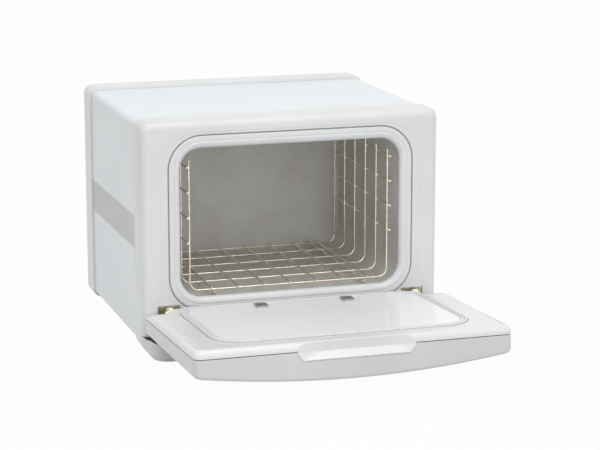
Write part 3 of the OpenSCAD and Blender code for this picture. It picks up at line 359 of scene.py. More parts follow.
# The share of the way in from the outer to the inner edge, and the depth there.
profile = [(0.0, lap_front), (0.0, 1.7), (0.012, 0.95), (0.04, 0.5), (0.08, 0.34), (0.18, crown),
           (0.34, crown), (0.37, 0.45), (0.395, 0.95), (0.43, 1.1), (0.46, 0.85), (0.48, 0.5), (0.5, 0.36)]
profile += [(1.0 - drop, crown + roll_deep * inset / 0.5) for inset, drop in quarter(0.5, 10)[1:]]
profile += [(1.0, lap_back)]
loops = []
for share, y in profile:
    w, h, r = (outer + (inner - outer) * share for outer, inner in zip(ring_out, ring_in))
    loops.append(upright(w, h, r, open_mid, y, bends=16))
loops += [upright(*lap, open_mid, y, bends=16) for y in (lap_back, lap_front)]

# The same ABS as the frame, a little glossier, since the door's gasket wipes it.
ring_abs = coated("mouth_ring_abs", "#dfe1e2", "#dadcde", "#f4f6f6", 80.0, 1.0, 0.003,
                  (0.2, 0.3), {"IOR": 1.52, "Coat Weight": 0.25, "Coat Roughness": 0.15})
form = skin(loops, ring=True)
piece("mouth_ring_moulding", form, ring_abs, "cabinet", "frame_plastic", "opening_ring")


# Rear cover: a deep moulded lid with vents, held by four screws into posts on the bulkhead,
# in the same ABS as the frame.
dress(frame_abs, "rear_cover")


# Rear cover screws: four pan-head steel screws with a cross recess, zinc plated, sunk in
# counterbores of the cover and turned into the posts behind it.
def turned(form, centre, rows, across=False, bends=28, ring=False):
    """Adds a round form about a line along the depth, or across, from (distance, radius) rows."""
    turn = [2 * math.pi * i / bends for i in range(bends)]
    loops = []
    for along, r in rows:
        spokes = [(r * math.cos(a), r * math.sin(a)) for a in turn]
        places = [(along, p, q) if across else (p, along, q) for p, q in spokes]
        loops.append([centre + Vector(place) / 1000.0 for place in places])
    skin(loops, ring=ring, form=form)


def clouded(name, light, dark, cloud, spread, gloss, bump, values):
    """A surface whose shade, gloss and relief follow one fine cloud.

    cloud is its size in mm, detail and roughness; bump is the relief's strength and depth in mm."""
    finish, tree = new_finish(name)
    place = add(tree, "ShaderNodeTexCoord").outputs["Object"]
    cloud_mm, detail, grit = cloud
    grains = {"Scale": 1000.0 / cloud_mm, "Detail": detail, "Roughness": grit}
    pattern = add(tree, "ShaderNodeTexNoise", grains, {"Vector": place}).outputs["Fac"]
    tint = two_tone(tree, light, dark, pattern, *spread)
    rough = add(tree, "ShaderNodeMapRange", {3: gloss[0], 4: gloss[1]}, {"Value": pattern})
    strength, depth_mm = bump
    relief = add(tree, "ShaderNodeBump", {"Strength": strength, "Distance": depth_mm / 1000.0},
                 {"Height": pattern})
    surface(tree, tint, rough, relief, values)
    return finish


cover_deep, screw_sink, screw_x, screw_heights = 394.4, 2.5, 201.0, (36.0, 320.4)
screw = [(-9.0, 2.0), (-0.02, 2.0), (0.0, 3.6), (1.0, 3.5), (1.7, 2.9), (2.1, 1.8), (2.2, 0.4)]
recess_long, recess_thin, recess_floor = 1.9, 0.35, 1.0
screw_seat = cover_deep - screw_sink
screw_places = [(side * screw_x, z) for side in (-1, 1) for z in screw_heights]
form = bmesh.new()
for x, z in screw_places:
    turned(form, at_face(x, screw_seat, z), screw)
for wide, tall in ((recess_long, recess_thin), (recess_thin, recess_long)):
    tool = bmesh.new()
    for x, z in screw_places:
        block(tool, at_face(x - wide, screw_seat + recess_floor, z - tall),
              at_face(x + wide, cover_deep + 1.0, z + tall))
    form = carve(form, tool)

# Bright zinc on steel: cool, fine-grained and a little cloudy. The bulkhead, the cradles under the
# chamber and the feet's screws are plated with it too.
bright_zinc = clouded("bright_zinc_steel", "#cfd2d5", "#b3b7bb", (12.0, 5.0, 0.65), (0.35, 0.7),
                      (0.24, 0.42), (0.4, 0.02), {"Metallic": 1.0})
piece("rear_cover_screw_heads", form, bright_zinc, "cabinet", "steel", "rear_cover_screws")
dress(bright_zinc, "rear_bulkhead", "chamber_cradles", "foot_screws")


# Chamber: walls and roof bent from one aluminium sheet with a front flange, over a floor sheet
# and a back sheet, brushed along the depth. Steam leaves it dull and slightly warm in tone.
# The strokes are drawn 1 mm wide and 125 mm long, coarser than real, and the stains 45 mm across.
chamber_finish, tree = new_finish("brushed_aluminium_sheet")
place = add(tree, "ShaderNodeTexCoord").outputs["Object"]
brushed = add(tree, "ShaderNodeMapping", {"Scale": (900.0, 8.0, 900.0)}, {"Vector": place})
strokes = add(tree, "ShaderNodeTexNoise", {"Scale": 1.0, "Detail": 4.0, "Roughness": 0.6},
              {"Vector": brushed.outputs[0]})
stain = add(tree, "ShaderNodeTexNoise", {"Scale": 1000.0 / 45.0, "Detail": 5.0, "Roughness": 0.6},
            {"Vector": place})
tint = two_tone(tree, "#dddcd8", "#cdcbc5", stain.outputs["Fac"], 0.3, 0.75)
rough = add(tree, "ShaderNodeMapRange", {3: 0.48, 4: 0.64}, {"Value": strokes.outputs["Fac"]})
relief = add(tree, "ShaderNodeBump", {"Strength": 0.5, "Distance": 0.00002},
             {"Height": strokes.outputs["Fac"]})
surface(tree, tint, rough, relief, {"Metallic": 0.25, "Anisotropic": 0.3})
dress(chamber_finish, "chamber_wrap", "chamber_floor", "chamber_back")


# Wire rack: six hoops joined by side and floor wires, spot welded and nickel plated. It lifts
# clear of the mouth's lip and slides on two runners.
def wire(name, routes, thick, finish, body, slot, *node_names):
    """Makes round wires that follow routes of points, with cut ends."""
    data = bpy.data.curves.new(name, "CURVE")
    data.dimensions = "3D"
    data.bevel_depth = thick / 2000.0
    data.bevel_resolution = 4
    data.use_fill_caps = True
    for route in routes:
        line = data.splines.new("POLY")
        line.points.add(len(route) - 1)
        for point, target in zip(line.points, route):
            point.co = (*target, 1.0)
        line.use_smooth = True
    place_piece(name, data, finish, body, node_names)


# Nickel over steel wire: bright and warm, with the faint marks of wire drawing, 0.4 mm across,
# and dull spots of 9 mm where water dries.
nickel, tree = new_finish("nickel_plated_wire")
place = add(tree, "ShaderNodeTexCoord").outputs["Object"]
spots = add(tree, "ShaderNodeTexNoise", {"Scale": 1000.0 / 9.0, "Detail": 4.0}, {"Vector": place})
tint = two_tone(tree, "#f0eade", "#d6cbb6", spots.outputs["Fac"], 0.4, 0.7)
rough = add(tree, "ShaderNodeMapRange", {3: 0.16, 4: 0.34}, {"Value": spots.outputs["Fac"]})
lines = add(tree, "ShaderNodeTexNoise", {"Scale": 1000.0 / 0.4, "Detail": 2.0}, {"Vector": place})
relief = add(tree, "ShaderNodeBump", {"Strength": 0.6, "Distance": 0.00001}, {"Height": lines.outputs["Fac"]})
surface(tree, tint, rough, relief, {"Metallic": 1.0})

wire_d, wire_front, wire_back = 3.0, 11.0, 264.0
rack_low, rack_top, rack_half, rack_bend = 94.1, 286.2, 151.0, 13.0
hoop_start, hoop_step = 15.0, 49.0
rail_down, rail_step = 10.0, 37.0
floor_half = 119.5
hoop_places = [hoop_start + hoop_step * i for i in range(6)]
rail_heights = [rack_top - rail_down - rail_step * i for i in range(4)]
floor_places = [-floor_half + 2 * floor_half * i / 6 for i in range(7)]
routes = []
for y in hoop_places:
    left = [(-rack_half, y, rack_top), (-rack_half, y, rack_low + rack_bend)]
    left += [(-rack_half + inset, y, rack_low + drop) for inset, drop in quarter(rack_bend, 12)[1:]]
    routes.append([at_face(*p) for p in left + [(-x, y, z) for x, y, z in left[::-1]]])
wire("rack_hoop_wires", routes, wire_d, nickel, "rack", "rack_wire", "rack_hoops")
rail_x = rack_half + wire_d
routes = [[at_face(side * rail_x, y, z) for y in (wire_front, wire_back)]
          for side in (-1, 1) for z in rail_heights]
wire("rack_side_wires", routes, wire_d, nickel, "rack", "rack_wire", "rack_rails")
routes = [[at_face(x, y, rack_low + wire_d) for y in (wire_front, wire_back)] for x in floor_places]
wire("rack_bottom_wires", routes, wire_d, nickel, "rack", "rack_wire", "rack_floor_wires")

# Flattened beads of metal, about 3 mm across, where the crossing wires are welded.
bead_r, bead_wide, bead_flat = 0.00105, 1.5, 0.9
side_bead = Matrix.Diagonal((bead_flat, bead_wide, bead_wide, 1.0))
floor_bead = Matrix.Diagonal((bead_wide, bead_wide, bead_flat, 1.0))
form = bmesh.new()
for y in hoop_places:
    beads = [(side * (rack_half + wire_d / 2), y, z, side_bead) for side in (-1, 1) for z in rail_heights]
    beads += [(x, y, rack_low + wire_d / 2, floor_bead) for x in floor_places]
    for *spot, squash in beads:
        where = Matrix.Translation(at_face(*spot)) @ squash
        bmesh.ops.create_icosphere(form, subdivisions=2, radius=bead_r, matrix=where)
piece("rack_weld_beads", form, nickel, "rack", "rack_wire", sharp=80.0)
dress(nickel, "rack_runners")


# Door inner panel: a glossy white moulding with a soft rim, a finger pocket moulded into its
# free end, a pocket round each hinge and a shallow groove along each side.
hinge = Vector(next(j for j in frame["joints"] if j["name"] == "door_hinge")["pos_m"])
# The open door lies 2.8 degrees from the level, and places on it are given as if it lay level.
tilt = math.radians(2.8)
door_w, heel_y, tip_y, door_r = 450.0, 5.4, -284.0, 11.0
door_len, door_mid = heel_y - tip_y, (heel_y + tip_y) / 2
panel_top, panel_low, panel_soft = 8.8, -3.2, 9.0


def on_door(x, y, z):
    """A point in millimetres from the hinge axis, with the door lying level."""
    y, z = y * math.cos(tilt) + z * math.sin(tilt), -y * math.sin(tilt) + z * math.cos(tilt)
    return hinge + Vector((x, y, z)) / 1000.0


def level(w, length, r, middle, z, across=0.0, **steps):
    """A rounded rectangle that lies along the door at a height."""
    return [on_door(across + x, y, z) for x, y in rounded(w, length, r, middle, **steps)]


def pocket(grow=0.0):
    """The finger pocket in level slices, a steep ledge and an upright back wall, grown by a wall."""
    floor, crease, lip, lip_start = -16.5, -6.0, 8.5, 7.0
    back_deep, back_lean, back_bend, lip_roll = 9.0, 3.0, 15.0, 0.9
    flat_half, flat_down, flat_up = 55.5, 21.5, 7.5
    mouth_half, mouth_down, mouth_reach = 84.0, 7.0, -12.0
    heights = [floor, -16.0, -14.0, -11.5, -9.0, -7.0, crease, -5.0, -3.6, -2.9]
    heights += [] if grow else [-1.0, 2.0, 5.0, 6.6, 7.4, 8.0, lip]
    loops = []
    for z in heights:
        down, up = max(crease - z, 0.0) / (crease - floor), max(z - crease, 0.0) / (lip - crease)
        roll = lip_roll * (max(z - lip_start, 0.0) / (lip - lip_start)) ** 2
        back = back_deep * (1.0 - down) - back_lean * up + roll
        flat = flat_half + flat_down * down + flat_up * up
        half = mouth_half - mouth_down * down + 2.0 * roll
        bend = back_bend * back / back_deep
        steer = ((flat + half) / 2, back / 2), (flat, back), (flat - bend, back)
        right = [(half + grow, mouth_reach), (half + grow, grow * 0.3)]
        for s in (i / 10 for i in range(11)):
            x, y = ((1 - s) ** 2 * a + 2 * s * (1 - s) * b + s * s * c for a, b, c in zip(*steer))
            right.append((x + grow * 0.4, y + grow))
        sunk = z - 1.4 * grow * min(2.0 * down, 1.0)
        loops.append([on_door(x, tip_y + y, sunk) for x, y in right + [(-x, y) for x, y in right[::-1]]])
    return skin(loops)


def pocket_wall(grow, behind):
    """The grown pocket without what lies less than a distance behind the door's free end."""
    reach, front, under = 0.3, -0.5, -0.2
    cut_y = on_door(0.0, tip_y + behind, 0.0).y
    tool = bmesh.new()
    block(tool, Vector((-reach, front, under)), Vector((reach, cut_y, reach)))
    return carve(pocket(grow), tool)


def hinge_pockets(low, high):
    """The room round each hinge between two heights."""
    pocket_x, pocket_mid, pocket_w, pocket_l, pocket_r = 186.0, 0.5, 34.0, 20.0, 1.5
    form = bmesh.new()
    for side in (-1, 1):
        skin([level(pocket_w, pocket_l, pocket_r, pocket_mid, z, side * pocket_x, bends=4)
              for z in (low, high)], form=form)
    return form


rows = [(0.7, panel_low), (0.2, panel_low + 0.25), (0.0, panel_low + 0.8), (0.0, panel_top - panel_soft)]
rows += [(inset, panel_top - drop) for inset, drop in quarter(panel_soft, 10)[1:]]
form = skin([level(door_w - 2 * inset, door_len - 2 * inset, max(door_r - inset, 2.0), door_mid, z)
             for inset, z in rows])
for wall, behind in ((2.4, 2.7), (0.5, 0.15)):
    form = carve(form, pocket_wall(wall, behind), "UNION")
form = carve(form, pocket())
form = carve(form, hinge_pockets(panel_low - 2.0, panel_top + 2.0))

# The heel's two corners, rolled off where the door turns up against the frame. Each cutting form is
# joined from upright slices that go out across the heel and follow the rim's round edge.
heel_in, heel_blend, rim_x = 182.0, 12.0, door_w / 2 - panel_soft
heel_start, heel_long, heel_fall, heel_least = -55.0, 61.0, 11.5, 0.9
tool_front, tool_back, tool_top, tool_clear = -60.0, 10.0, 30.0, 0.3
heel_slices = [heel_in + 2.0 * i for i in range(7)] + [rim_x, 219.0, 221.5, 223.5, 224.6, door_w / 2, 227.0]
for side in (-1, 1):
    loops = []
    for x in heel_slices:
        blend = min(max((x - heel_in) / heel_blend, 0.0), 1.0)
        blend = blend * blend * (3 - 2 * blend)
        over_rim = min(max(x - rim_x, 0.0), panel_soft)
        edge = panel_soft * (1 - math.sqrt(max(1 - (over_rim / panel_soft) ** 2, 0.0)))
        line = [(tool_back, tool_top), (tool_front, tool_top)]
        for i in range(25):
            y = tool_front + (tool_back - tool_front) * i / 24
            fall = heel_fall * (max(y - heel_start, 0.0) / heel_long) ** 2 * blend
            fall -= tool_clear if y < heel_start + 1.0 or blend == 0.0 else 0.0
            line.append((y, max(panel_top - fall - edge, panel_low + heel_least)))
        loops.append([on_door(side * x, y, z) for y, z in line])
    form = carve(form, skin(loops))

# The groove along each side: width and height of its edge, wall and floor.
groove_x, groove_mid, groove_long = 215.0, tip_y + 52.0, 78.0
tool = bmesh.new()
for side in (-1, 1):
    loops = []
    for wide, z in ((6.0, 0.5), (5.4, -0.4), (4.0, -1.0)):
        long, r = groove_long + wide, wide / 2 - 0.05
        loops.append(level(wide, long, r, groove_mid, panel_top + z, side * groove_x, bends=6))
    skin(loops, form=tool)
form = carve(form, tool)

gasket_w, gasket_l, gasket_r, gasket_mid = 369.4, 243.4, 46.0, -133.5


def gasket_loop(inset, z):
    """A loop that follows the gasket at an inset from its outer edge and a height on the panel."""
    w, length, r = gasket_w - 2 * inset, gasket_l - 2 * inset, gasket_r - inset
    return level(w, length, r, gasket_mid, panel_top + z, bends=16)


seat = [(-1.4, 1.0), (-1.2, -1.2), (-0.8, -2.0), (0.6, -2.0), (0.9, -1.2), (0.9, 1.0)]
form = carve(form, skin([gasket_loop(*row) for row in seat], ring=True))

# Polished ABS: a glossy white skin, so the rim shows a long soft highlight.
door_abs = coated("gloss_white_abs", "#e8e9e9", "#e2e3e4", "#f6f7f7", 140.0, 1.4, 0.003,
                  (0.22, 0.33), {"IOR": 1.5, "Coat Weight": 0.15, "Coat Roughness": 0.2})
piece("door_inner_moulding", form, door_abs, "door", "door_white", "door_inner_panel")


# Door outer shell: the front of the closed door, bowed across its width and deeper towards the
# free end, with a thin shadow gap where it meets the inner moulding.
heel_side, heel_deep, tip_side, tip_deep = 23.0, 28.0, 26.0, 43.0
shell_top, shell_base, shell_round = -4.2, -3.4, 5.0


def bow(x, y):
    """Depth of the bowed underside at a place on the door."""
    along = min(max((heel_y - y) / door_len, 0.0), 1.0)
    side, mid = heel_side + (tip_side - heel_side) * along, heel_deep + (tip_deep - heel_deep) * along
    rise, half = mid - side, door_w / 2
    radius = (half * half + rise * rise) / (2 * rise)
    return mid - radius + math.sqrt(radius * radius - min(abs(x), half) ** 2)


def shell_plan(inset):
    """The shell's outline from above, at an inset."""
    r = max(door_r - inset, 1.0)
    return rounded(door_w - 2 * inset, door_len - 2 * inset, r, door_mid, bends=8, runs=24)


loops = [[on_door(x, y, shell_top - down) for x, y in shell_plan(inset)]
         for inset, down in ((0.8, 0.0), (0.25, 0.2), (0.0, 0.7))]
underside = quarter(shell_round, 6)
underside += [(inset, 0.0) for inset in (8.0, 16.0, 32.0, 52.0, 76.0, 102.0, 124.0, 140.0)]
loops += [[on_door(x, y, shell_base - bow(x, y) + drop) for x, y in shell_plan(inset)]
          for inset, drop in underside]
pocket_clear, ledge_clear, ledge_behind, hinge_low, hinge_high = 1.15, 3.2, 2.4, -9.5, 4.0
form = carve(skin(loops), pocket(pocket_clear))
form = carve(form, pocket_wall(ledge_clear, ledge_behind))
form = carve(form, hinge_pockets(hinge_low, hinge_high))

# Pearl-grey ABS like the frame's, with a slightly smoother skin. Its colour is drawn darker than the frame's
# as painted shade, for the bowed shell that faces down and away from the lamps.
shell_abs_painted_shade = coated("door_shell_abs", "#d4d4d5", "#cecfd0", "#eff1f1", 150.0, 1.2, 0.004,
                   (0.26, 0.36), {"IOR": 1.52, "Coat Weight": 0.1, "Coat Roughness": 0.2})
piece("door_outer_moulding", form, shell_abs_painted_shade, "door", "frame_plastic", "door_outer_shell")


# Drip tray: a shallow trough that slides out from under the door on two flat arms; its rim rises
# towards the front corners, where the tray is lifted out to be emptied.
tray_half, tray_front, tray_back, tray_r = 225.0, -71.0, 14.7, 25.0
tray_low, tray_top, tray_round = 13.0, 32.8, 8.0
tray_wall, trough_round, trough_low = 2.5, 6.0, 15.5
corner_rise, rise_long = 7.0, 50.0


def tray_plan(inset, back, height):
    """A loop round the tray; one near the top follows the rising rim."""
    half, front, r = tray_half - inset, tray_front + inset, max(tray_r - inset, 3.0)
    left = [(-half, back + (front + r - back) * i / 12) for i in range(1, 12)]
    left += [(-half + in_by, front + out_by) for in_by, out_by in quarter(r, 10)]
    points = [(half - 2 * half * i / 24, back) for i in range(25)] + left
    points += [(-half + r + 2 * (half - r) * i / 24, front) for i in range(1, 24)]
    points += [(-x, y) for x, y in left[::-1]]
    loop = []
    for x, y in points:
        lift = min(max(-y / rise_long, 0.0), 1.0)
        rise = corner_rise * (abs(x) / tray_half) ** 3 * lift * lift * (3 - 2 * lift)
        loop.append(at_face(x, y, height + (rise if height > tray_top - 6.0 else 0.0)))
    return loop


loops = [tray_plan(inset, tray_back, tray_low + rise) for rise, inset in quarter(tray_round, 6)]
# The rim, then the inner wall down to the trough: inset, inset at the back, and height.
rim = ((0.0, 0.0, tray_top - 1.2), (0.35, 0.3, tray_top - 0.35), (1.2, 1.2, tray_top),
       (2.1, 2.1, tray_top - 0.35), (tray_wall, tray_wall, tray_top - 1.2),
       (tray_wall, tray_wall, trough_low + trough_round))
loops += [tray_plan(inset, tray_back - back_inset, z) for inset, back_inset, z in rim]
loops += [tray_plan(tray_wall + inset, tray_back - tray_wall - inset, trough_low + drop)
          for inset, drop in quarter(trough_round, 6)[1:]]
form = skin(loops)
arm_half, arm_low, arm_high = 6.0, 18.6, 23.6
for side in (-1, 1):
    loops = []
    for y, taper in ((14.0, 0.0), (98.0, 0.0), (105.0, 2.5)):
        half, low, high = arm_half - taper, arm_low + taper / 3, arm_high - taper / 3
        corners = (half, low), (half, high), (-half, high), (-half, low)
        loops.append([at_face(side * arm_x + x, y, z) for x, z in corners])
    skin(loops, form=form)

# The frame's ABS, its skin rubbed a little matt by cleaning. Its colour is drawn greyer than the frame's as
# painted shade, for the tray that sits in shade under the open door.
tray_abs_painted_shade = coated("drip_tray_abs", "#d6d8d9", "#cfd1d2", "#e6e8e9", 100.0, 1.0, 0.005,
                  (0.34, 0.46), {"IOR": 1.52})
piece("drip_tray_moulding", form, tray_abs_painted_shade, "tray", "frame_plastic", "drip_tray")


# Door gasket: a translucent silicone frame pressed into a groove round the plate, with a raised
# outer bead, a valley and a low inner lip, notched on the hinge side for the two clips.
lower_edge = [(0.9, -0.9), (0.3, -0.3), (0.0, 0.3)]
bead = [(0.0, 1.2), (0.3, 1.75), (0.9, 2.05), (1.8, 2.1), (2.8, 1.95), (3.6, 1.5), (4.1, 0.9), (4.5, 0.25)]
valley = [(5.0, 0.1), (6.6, 0.1)]
lip = [(7.1, 0.25), (7.5, 0.9), (8.0, 1.5), (8.6, 1.75), (9.3, 1.75), (9.8, 1.5), (10.1, 1.0), (10.2, 0.0)]
inner_edge = [(10.2, -0.3)]
profile = lower_edge + bead + valley + lip + inner_edge
form = skin([gasket_loop(*row) for row in profile], ring=True)
notch_x, notch_mid, notch_low, notch_high = 66.0, -17.3, 0.9, 4.0
notch_w, notch_l, notch_r = 16.0, 22.0, 1.0
tool = bmesh.new()
for side in (-1, 1):
    skin([level(notch_w, notch_l, notch_r, notch_mid, panel_top + z, side * notch_x, bends=2)
          for z in (notch_low, notch_high)], form=tool)
form = carve(form, tool)

# Silicone: milky, light passes a few millimetres into it; satin, with a faint cloud of dust.
silicone = clouded("translucent_silicone", "#e6e8ea", "#d9dcdf", (6.0, 5.0, 0.65), (0.45, 0.8),
                   (0.22, 0.42), (0.5, 0.01),
                   {"IOR": 1.41, "Subsurface Weight": 0.15, "Subsurface Radius": (0.003, 0.003, 0.003),
                    "Subsurface Scale": 1.0, "Transmission Weight": 0.05})
piece("door_gasket_bead", form, silicone, "door", "gasket_silicone", "door_gasket")


# Door plate: a flat sheet of white enamelled steel, laid on the panel inside the gasket, where it
# reflects the open chamber. The enamel is smooth and bright, with a long, shallow ripple.
enamel = coated("white_enamelled_plate", "#fafbfb", "#f6f8f9", "#fafbfb", 200.0, 40.0, 0.01,
                (0.14, 0.22), {"IOR": 1.45, "Specular IOR Level": 0.28})
dress(enamel, "door_plate")

# Plate clips: two small caps of bent steel on the plate behind the gasket's notches, which hold
# the sheet to the moulding; each has a sloped face and a lip turned over at its free end.
clip_half, clip_edge, clip_foot = 8.0, 0.6, 1.0
clip = ((-32.0, 3.6), (-32.8, 4.9), (-34.0, 5.2), (-45.0, 5.2),
        (-48.0, 4.8), (-50.5, 3.9), (-52.4, 2.6), (-53.0, 1.6))
form = bmesh.new()
for middle in (-63.0, 67.0):
    loops = []
    for y, high in clip:
        right = [(clip_half, clip_foot), (clip_half, high - 0.5), (clip_half - clip_edge, high)]
        section = right + [(-x, z) for x, z in right[::-1]]
        loops.append([on_door(middle + x, y, panel_top + z) for x, z in section])
    skin(loops, form=form)

# Tempered steel: grey and satin, darkened by the steam.
clip_steel = coated("tempered_spring_steel", "#a3a5a3", "#8b8e8c", "#c6c8c6", 5.0, 0.5, 0.006,
                    (0.38, 0.55), {"Metallic": 0.8})
piece("door_plate_clips", form, clip_steel, "door", "steel")


# Hinges: pressed steel brackets and leaves, yellow zinc plated, on headed steel pins with white
# nylon bushes and a coil spring each.
# Yellow zinc: pale brassy metal with a cloudy bloom of about 7 mm.
zinc = clouded("yellow_zinc_plate", "#e3dcc4", "#b9ab86", (7.0, 4.0, 0.6), (0.35, 0.7),
               (0.22, 0.4), (0.4, 0.02), {"Metallic": 1.0})
dress(zinc, "hinge_bracket_left", "hinge_bracket_right", "hinge_leaf_left", "hinge_leaf_right")
dress(bright_zinc, "hinge_pins", "bracket_screws", "leaf_screws", "catch_plates")

# Hinge springs: four turns of round steel wire round each pin, with one leg on the leaf and one
# on the bracket.
spring_wire, coil_r, coil_start, coil_pitch, coil_turns, bends = 1.4, 5.0, 181.2, 1.85, 4, 24
coil_end = coil_start + coil_pitch * coil_turns
leaf_leg, bracket_leg = [(coil_start, coil_r, -4.0)], [(coil_end, coil_r, 4.0), (coil_end, 12.4, 8.0)]
routes = []
for side in (-1, 1):
    coil = []
    for i in range(bends * coil_turns + 1):
        a = 2 * math.pi * i / bends
        coil.append((coil_start + coil_pitch * i / bends, coil_r * math.cos(a), coil_r * math.sin(a)))
    route = leaf_leg + coil + bracket_leg
    routes.append([hinge + Vector((side * x, y, z)) / 1000.0 for x, y, z in route])
wire("hinge_coil_springs", routes, spring_wire, bright_zinc, "cabinet", "steel", "hinge_springs")

# Bushes with a collar inside the leaf, and sleeves over the springs: place across and radius.
bush = [(173.0, 3.2), (173.0, 4.5), (175.0, 4.5), (175.0, 5.7),
        (175.4, 6.0), (179.6, 6.0), (180.0, 5.7), (180.0, 3.2)]
sleeve = [(183.6, 6.6), (183.6, 8.6), (184.0, 9.0), (190.2, 9.0),
          (190.6, 8.6), (190.6, 3.2), (189.6, 3.2), (189.6, 6.6)]
form = bmesh.new()
for side in (-1, 1):
    for rows in (bush, sleeve):
        turned(form, hinge, [(side * x, r) for x, r in rows], across=True, bends=32, ring=True)

# Nylon: milky white, slightly waxy, with a fine moulded skin.
nylon = coated("moulded_nylon", "#f3f2ec", "#e9e8e0", "#faf9f5", 6.0, 0.6, 0.006, (0.35, 0.5),
               {"IOR": 1.53, "Subsurface Weight": 0.2, "Subsurface Radius": (0.003, 0.003, 0.003),
                "Subsurface Scale": 1.0})
piece("hinge_nylon_sleeves", form, nylon, "door", "bush_nylon", "hinge_bushes")


# Wool, foam and heater inside the walls: mineral wool wrapped round the chamber and a foil
# heater under it, hidden when the cabinet is closed up.
# Mineral wool: matt yellow fibres, drawn coarser than real, as tufts 2 mm thick and 17 mm long.
wool, tree = new_finish("mineral_wool")
place = add(tree, "ShaderNodeTexCoord").outputs["Object"]
combed = add(tree, "ShaderNodeMapping", {"Scale": (60.0, 700.0, 500.0)}, {"Vector": place})
fibres = add(tree, "ShaderNodeTexNoise", {"Scale": 1.0, "Detail": 7.0, "Roughness": 0.7},
             {"Vector": combed.outputs[0]})
tint = two_tone(tree, "#e6d9a8", "#bba565", fibres.outputs["Fac"], 0.35, 0.65)
relief = add(tree, "ShaderNodeBump", {"Strength": 1.0, "Distance": 0.0008}, {"Height": fibres.outputs["Fac"]})
rough = add(tree, "ShaderNodeMapRange", {3: 0.85, 4: 1.0}, {"Value": fibres.outputs["Fac"]})
surface(tree, tint, rough, relief, {"Sheen Weight": 0.2, "Sheen Roughness": 0.6})
dress(wool, "insulation_sleeve", "insulation_back", "door_foam")

# Heater laminate: copper-toned foil, a little creased, with the element showing through as lines
# 6 mm wide.
foil, tree = new_finish("heater_foil_laminate")
place = add(tree, "ShaderNodeTexCoord").outputs["Object"]
tracks = add(tree, "ShaderNodeTexWave", {"Scale": 1000.0 / 6.0 / 6.28, "Distortion": 0.3, "Detail": 1.0},
             {"Vector": place}, bands_direction="Y")
crease = add(tree, "ShaderNodeTexNoise", {"Scale": 1000.0 / 14.0, "Detail": 5.0}, {"Vector": place})
tint = add(tree, "ShaderNodeMix", {6: colour("#d9b48c"), 7: colour("#a87b52")},
           {0: tracks.outputs["Fac"]}, data_type="RGBA")
rough = add(tree, "ShaderNodeMapRange", {3: 0.25, 4: 0.5}, {"Value": crease.outputs["Fac"]})
relief = add(tree, "ShaderNodeBump", {"Strength": 0.6, "Distance": 0.0003}, {"Height": crease.outputs["Fac"]})
surface(tree, tint, rough, relief, {"Metallic": 0.9})
dress(foil, "heater_sheet")


# Electrical fittings: black and ivory nylon mouldings on the chamber and in the side, and the
# three-pole inlet in the back, with steel pins.
# Black nylon: dark and satin, with a fine moulded grain, on the cases of the door's magnets too.
black = coated("black_moulded_nylon", "#1b1c1d", "#141516", "#3a3b3c", 10.0, 0.5, 0.01,
               (0.38, 0.52), {"IOR": 1.53})
dress(black, "switch_housing", "thermostat", "door_magnets")
# Ivory nylon: a warm, satin off-white, on the sleeves of the wires too.
ivory = coated("ivory_moulded_nylon", "#ece7d8", "#e0dac8", "#f6f2e6", 12.0, 0.6, 0.01,
               (0.4, 0.55), {"IOR": 1.53})
dress(ivory, "thermal_fuse", "terminal_block", "wiring_loom")

# Mains inlet: a black nylon body behind a flange, set in the rear cover, with three steel pins in
# its socket. A row of the body holds its width, height, corner radius and depth.
inlet_x, inlet_z = -150.0, 80.0
body = ((29.6, 23.6, 2.0, 366.4), (30.0, 24.0, 2.2, 367.0), (30.0, 24.0, 2.2, 392.8),
        (52.0, 28.0, 3.0, 392.8), (52.0, 28.0, 3.0, 394.1), (51.2, 27.2, 2.6, 394.6))
form = skin([upright(w, h, r, inlet_z, y, inlet_x, bends=4) for w, h, r, y in body])
socket = [(-12.0, -8.5), (12.0, -8.5), (12.0, 3.5), (7.0, 8.5), (-7.0, 8.5), (-12.0, 3.5)]
tool = skin([[at_face(inlet_x + x * wide, y, inlet_z + z * wide) for x, z in socket]
             for wide, y in ((1.0, 376.4), (1.0, 393.9), (1.08, 395.0))])
form = carve(form, tool)
piece("power_inlet_body", form, black, "cabinet", "electrical_black", "power_inlet")
pin = ((1.0, -2.0), (1.0, 2.0), (-1.0, 2.0), (-1.0, -2.0))
form = bmesh.new()
for pin_x, pin_z in ((-7.0, -2.0), (7.0, -2.0), (0.0, 2.6)):
    skin([[at_face(inlet_x + pin_x + x * thin, y, inlet_z + pin_z + z * thin) for x, z in pin]
          for thin, y in ((1.0, 376.0), (1.0, 389.5), (0.5, 391.0))], form=form)
piece("power_inlet_pins", form, bright_zinc, "cabinet", "steel")


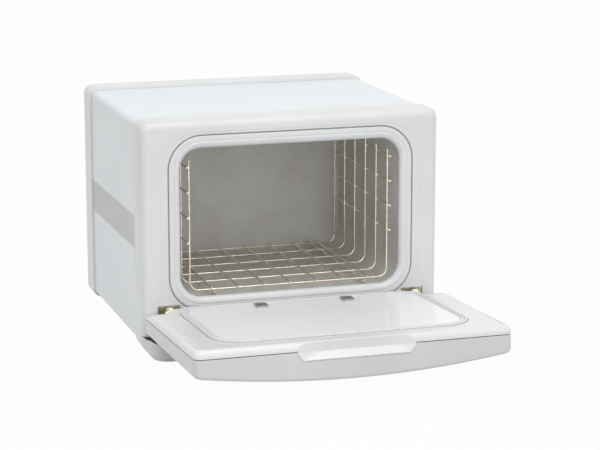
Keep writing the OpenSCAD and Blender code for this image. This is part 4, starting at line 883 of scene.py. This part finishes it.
# Switch rocker: a dished red cap, moulded with the pin it rocks on, snapped into the black housing
# in the right-hand side. It is drawn leaning to its off side.
switch_low, switch_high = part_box("switch_housing")
pivot = Vector((0.220, face_y + 0.100, (switch_low.z + switch_high.z) / 2))
lean, pin_half, pin_r = math.radians(8.0), 9.6, 1.4
cap_half, dish_half, cap_face, dish = 11.6, 11.0, 2.6, 1.0
dished_face = [(cap_face - dish * (1 - (z / dish_half) ** 2), z) for z in range(11, -12, -2)]
outline = [(-8.0, 0.0), (-3.0, cap_half), (2.0, cap_half)] + dished_face
outline += [(2.0, -cap_half), (-3.0, -cap_half)]
loops = []
for y, inset in ((-8.1, 0.6), (-7.95, 0.25), (-7.6, 0.0), (7.6, 0.0), (7.95, 0.25), (8.1, 0.6)):
    shrunk = [(x - (inset if x > 0 else -inset), z * (1 - inset / cap_half)) for x, z in outline]
    leant = [(x * math.cos(lean) + z * math.sin(lean), z * math.cos(lean) - x * math.sin(lean))
             for x, z in shrunk]
    loops.append([pivot + Vector((x, y, z)) / 1000.0 for x, z in leant])
form = skin(loops)
turned(form, pivot, [(-pin_half, pin_r), (pin_half, pin_r)])

# Red polycarbonate: clear deep colour under a hard gloss.
red = coated("red_polycarbonate", "#b3231a", "#9c1c14", "#c8453a", 8.0, 0.8, 0.004,
             (0.16, 0.26), {"IOR": 1.58, "Coat Weight": 0.3, "Coat Roughness": 0.1})
piece("switch_rocker_cap", form, red, "rocker", "rocker_red", "switch_rocker")


# Pilot lamp: a domed lens with a thin rim on a round stem, moulded in one piece and pushed into
# a hole above the switch.
# Amber polycarbonate: bright, glossy and partly clear.
amber = coated("amber_polycarbonate_lens", "#f09a2c", "#d97f16", "#f7b65c", 5.0, 0.9, 0.004, (0.1, 0.2),
               {"IOR": 1.58, "Transmission Weight": 0.25, "Coat Weight": 0.3, "Coat Roughness": 0.05})
stem_and_rim = [(-16.0, 5.0), (0.0, 5.0), (0.02, 6.4), (0.5, 6.6), (1.0, 6.3), (1.3, 5.2)]
dome = [(1.5, 4.8), (2.1, 4.4), (2.7, 3.6), (3.1, 2.4), (3.3, 1.0), (3.32, 0.2)]
lamp_seat = Vector((0.222, pivot.y, pivot.z + 0.034))
form = bmesh.new()
turned(form, lamp_seat, stem_and_rim + dome, across=True)
piece("pilot_lamp_lens", form, amber, "cabinet", "lamp_lens", "pilot_lamp")


# Rubber feet: four short black feet, each moulded in one piece and held by a screw through
# the casing floor.
# Moulded rubber: near black, matt and slightly uneven.
rubber = coated("moulded_rubber", "#2b2b2b", "#222222", "#3c3c3c", 9.0, 0.7, 0.02,
                (0.7, 0.85), {"IOR": 1.52, "Specular IOR Level": 0.35})
dress(rubber, "rubber_feet")
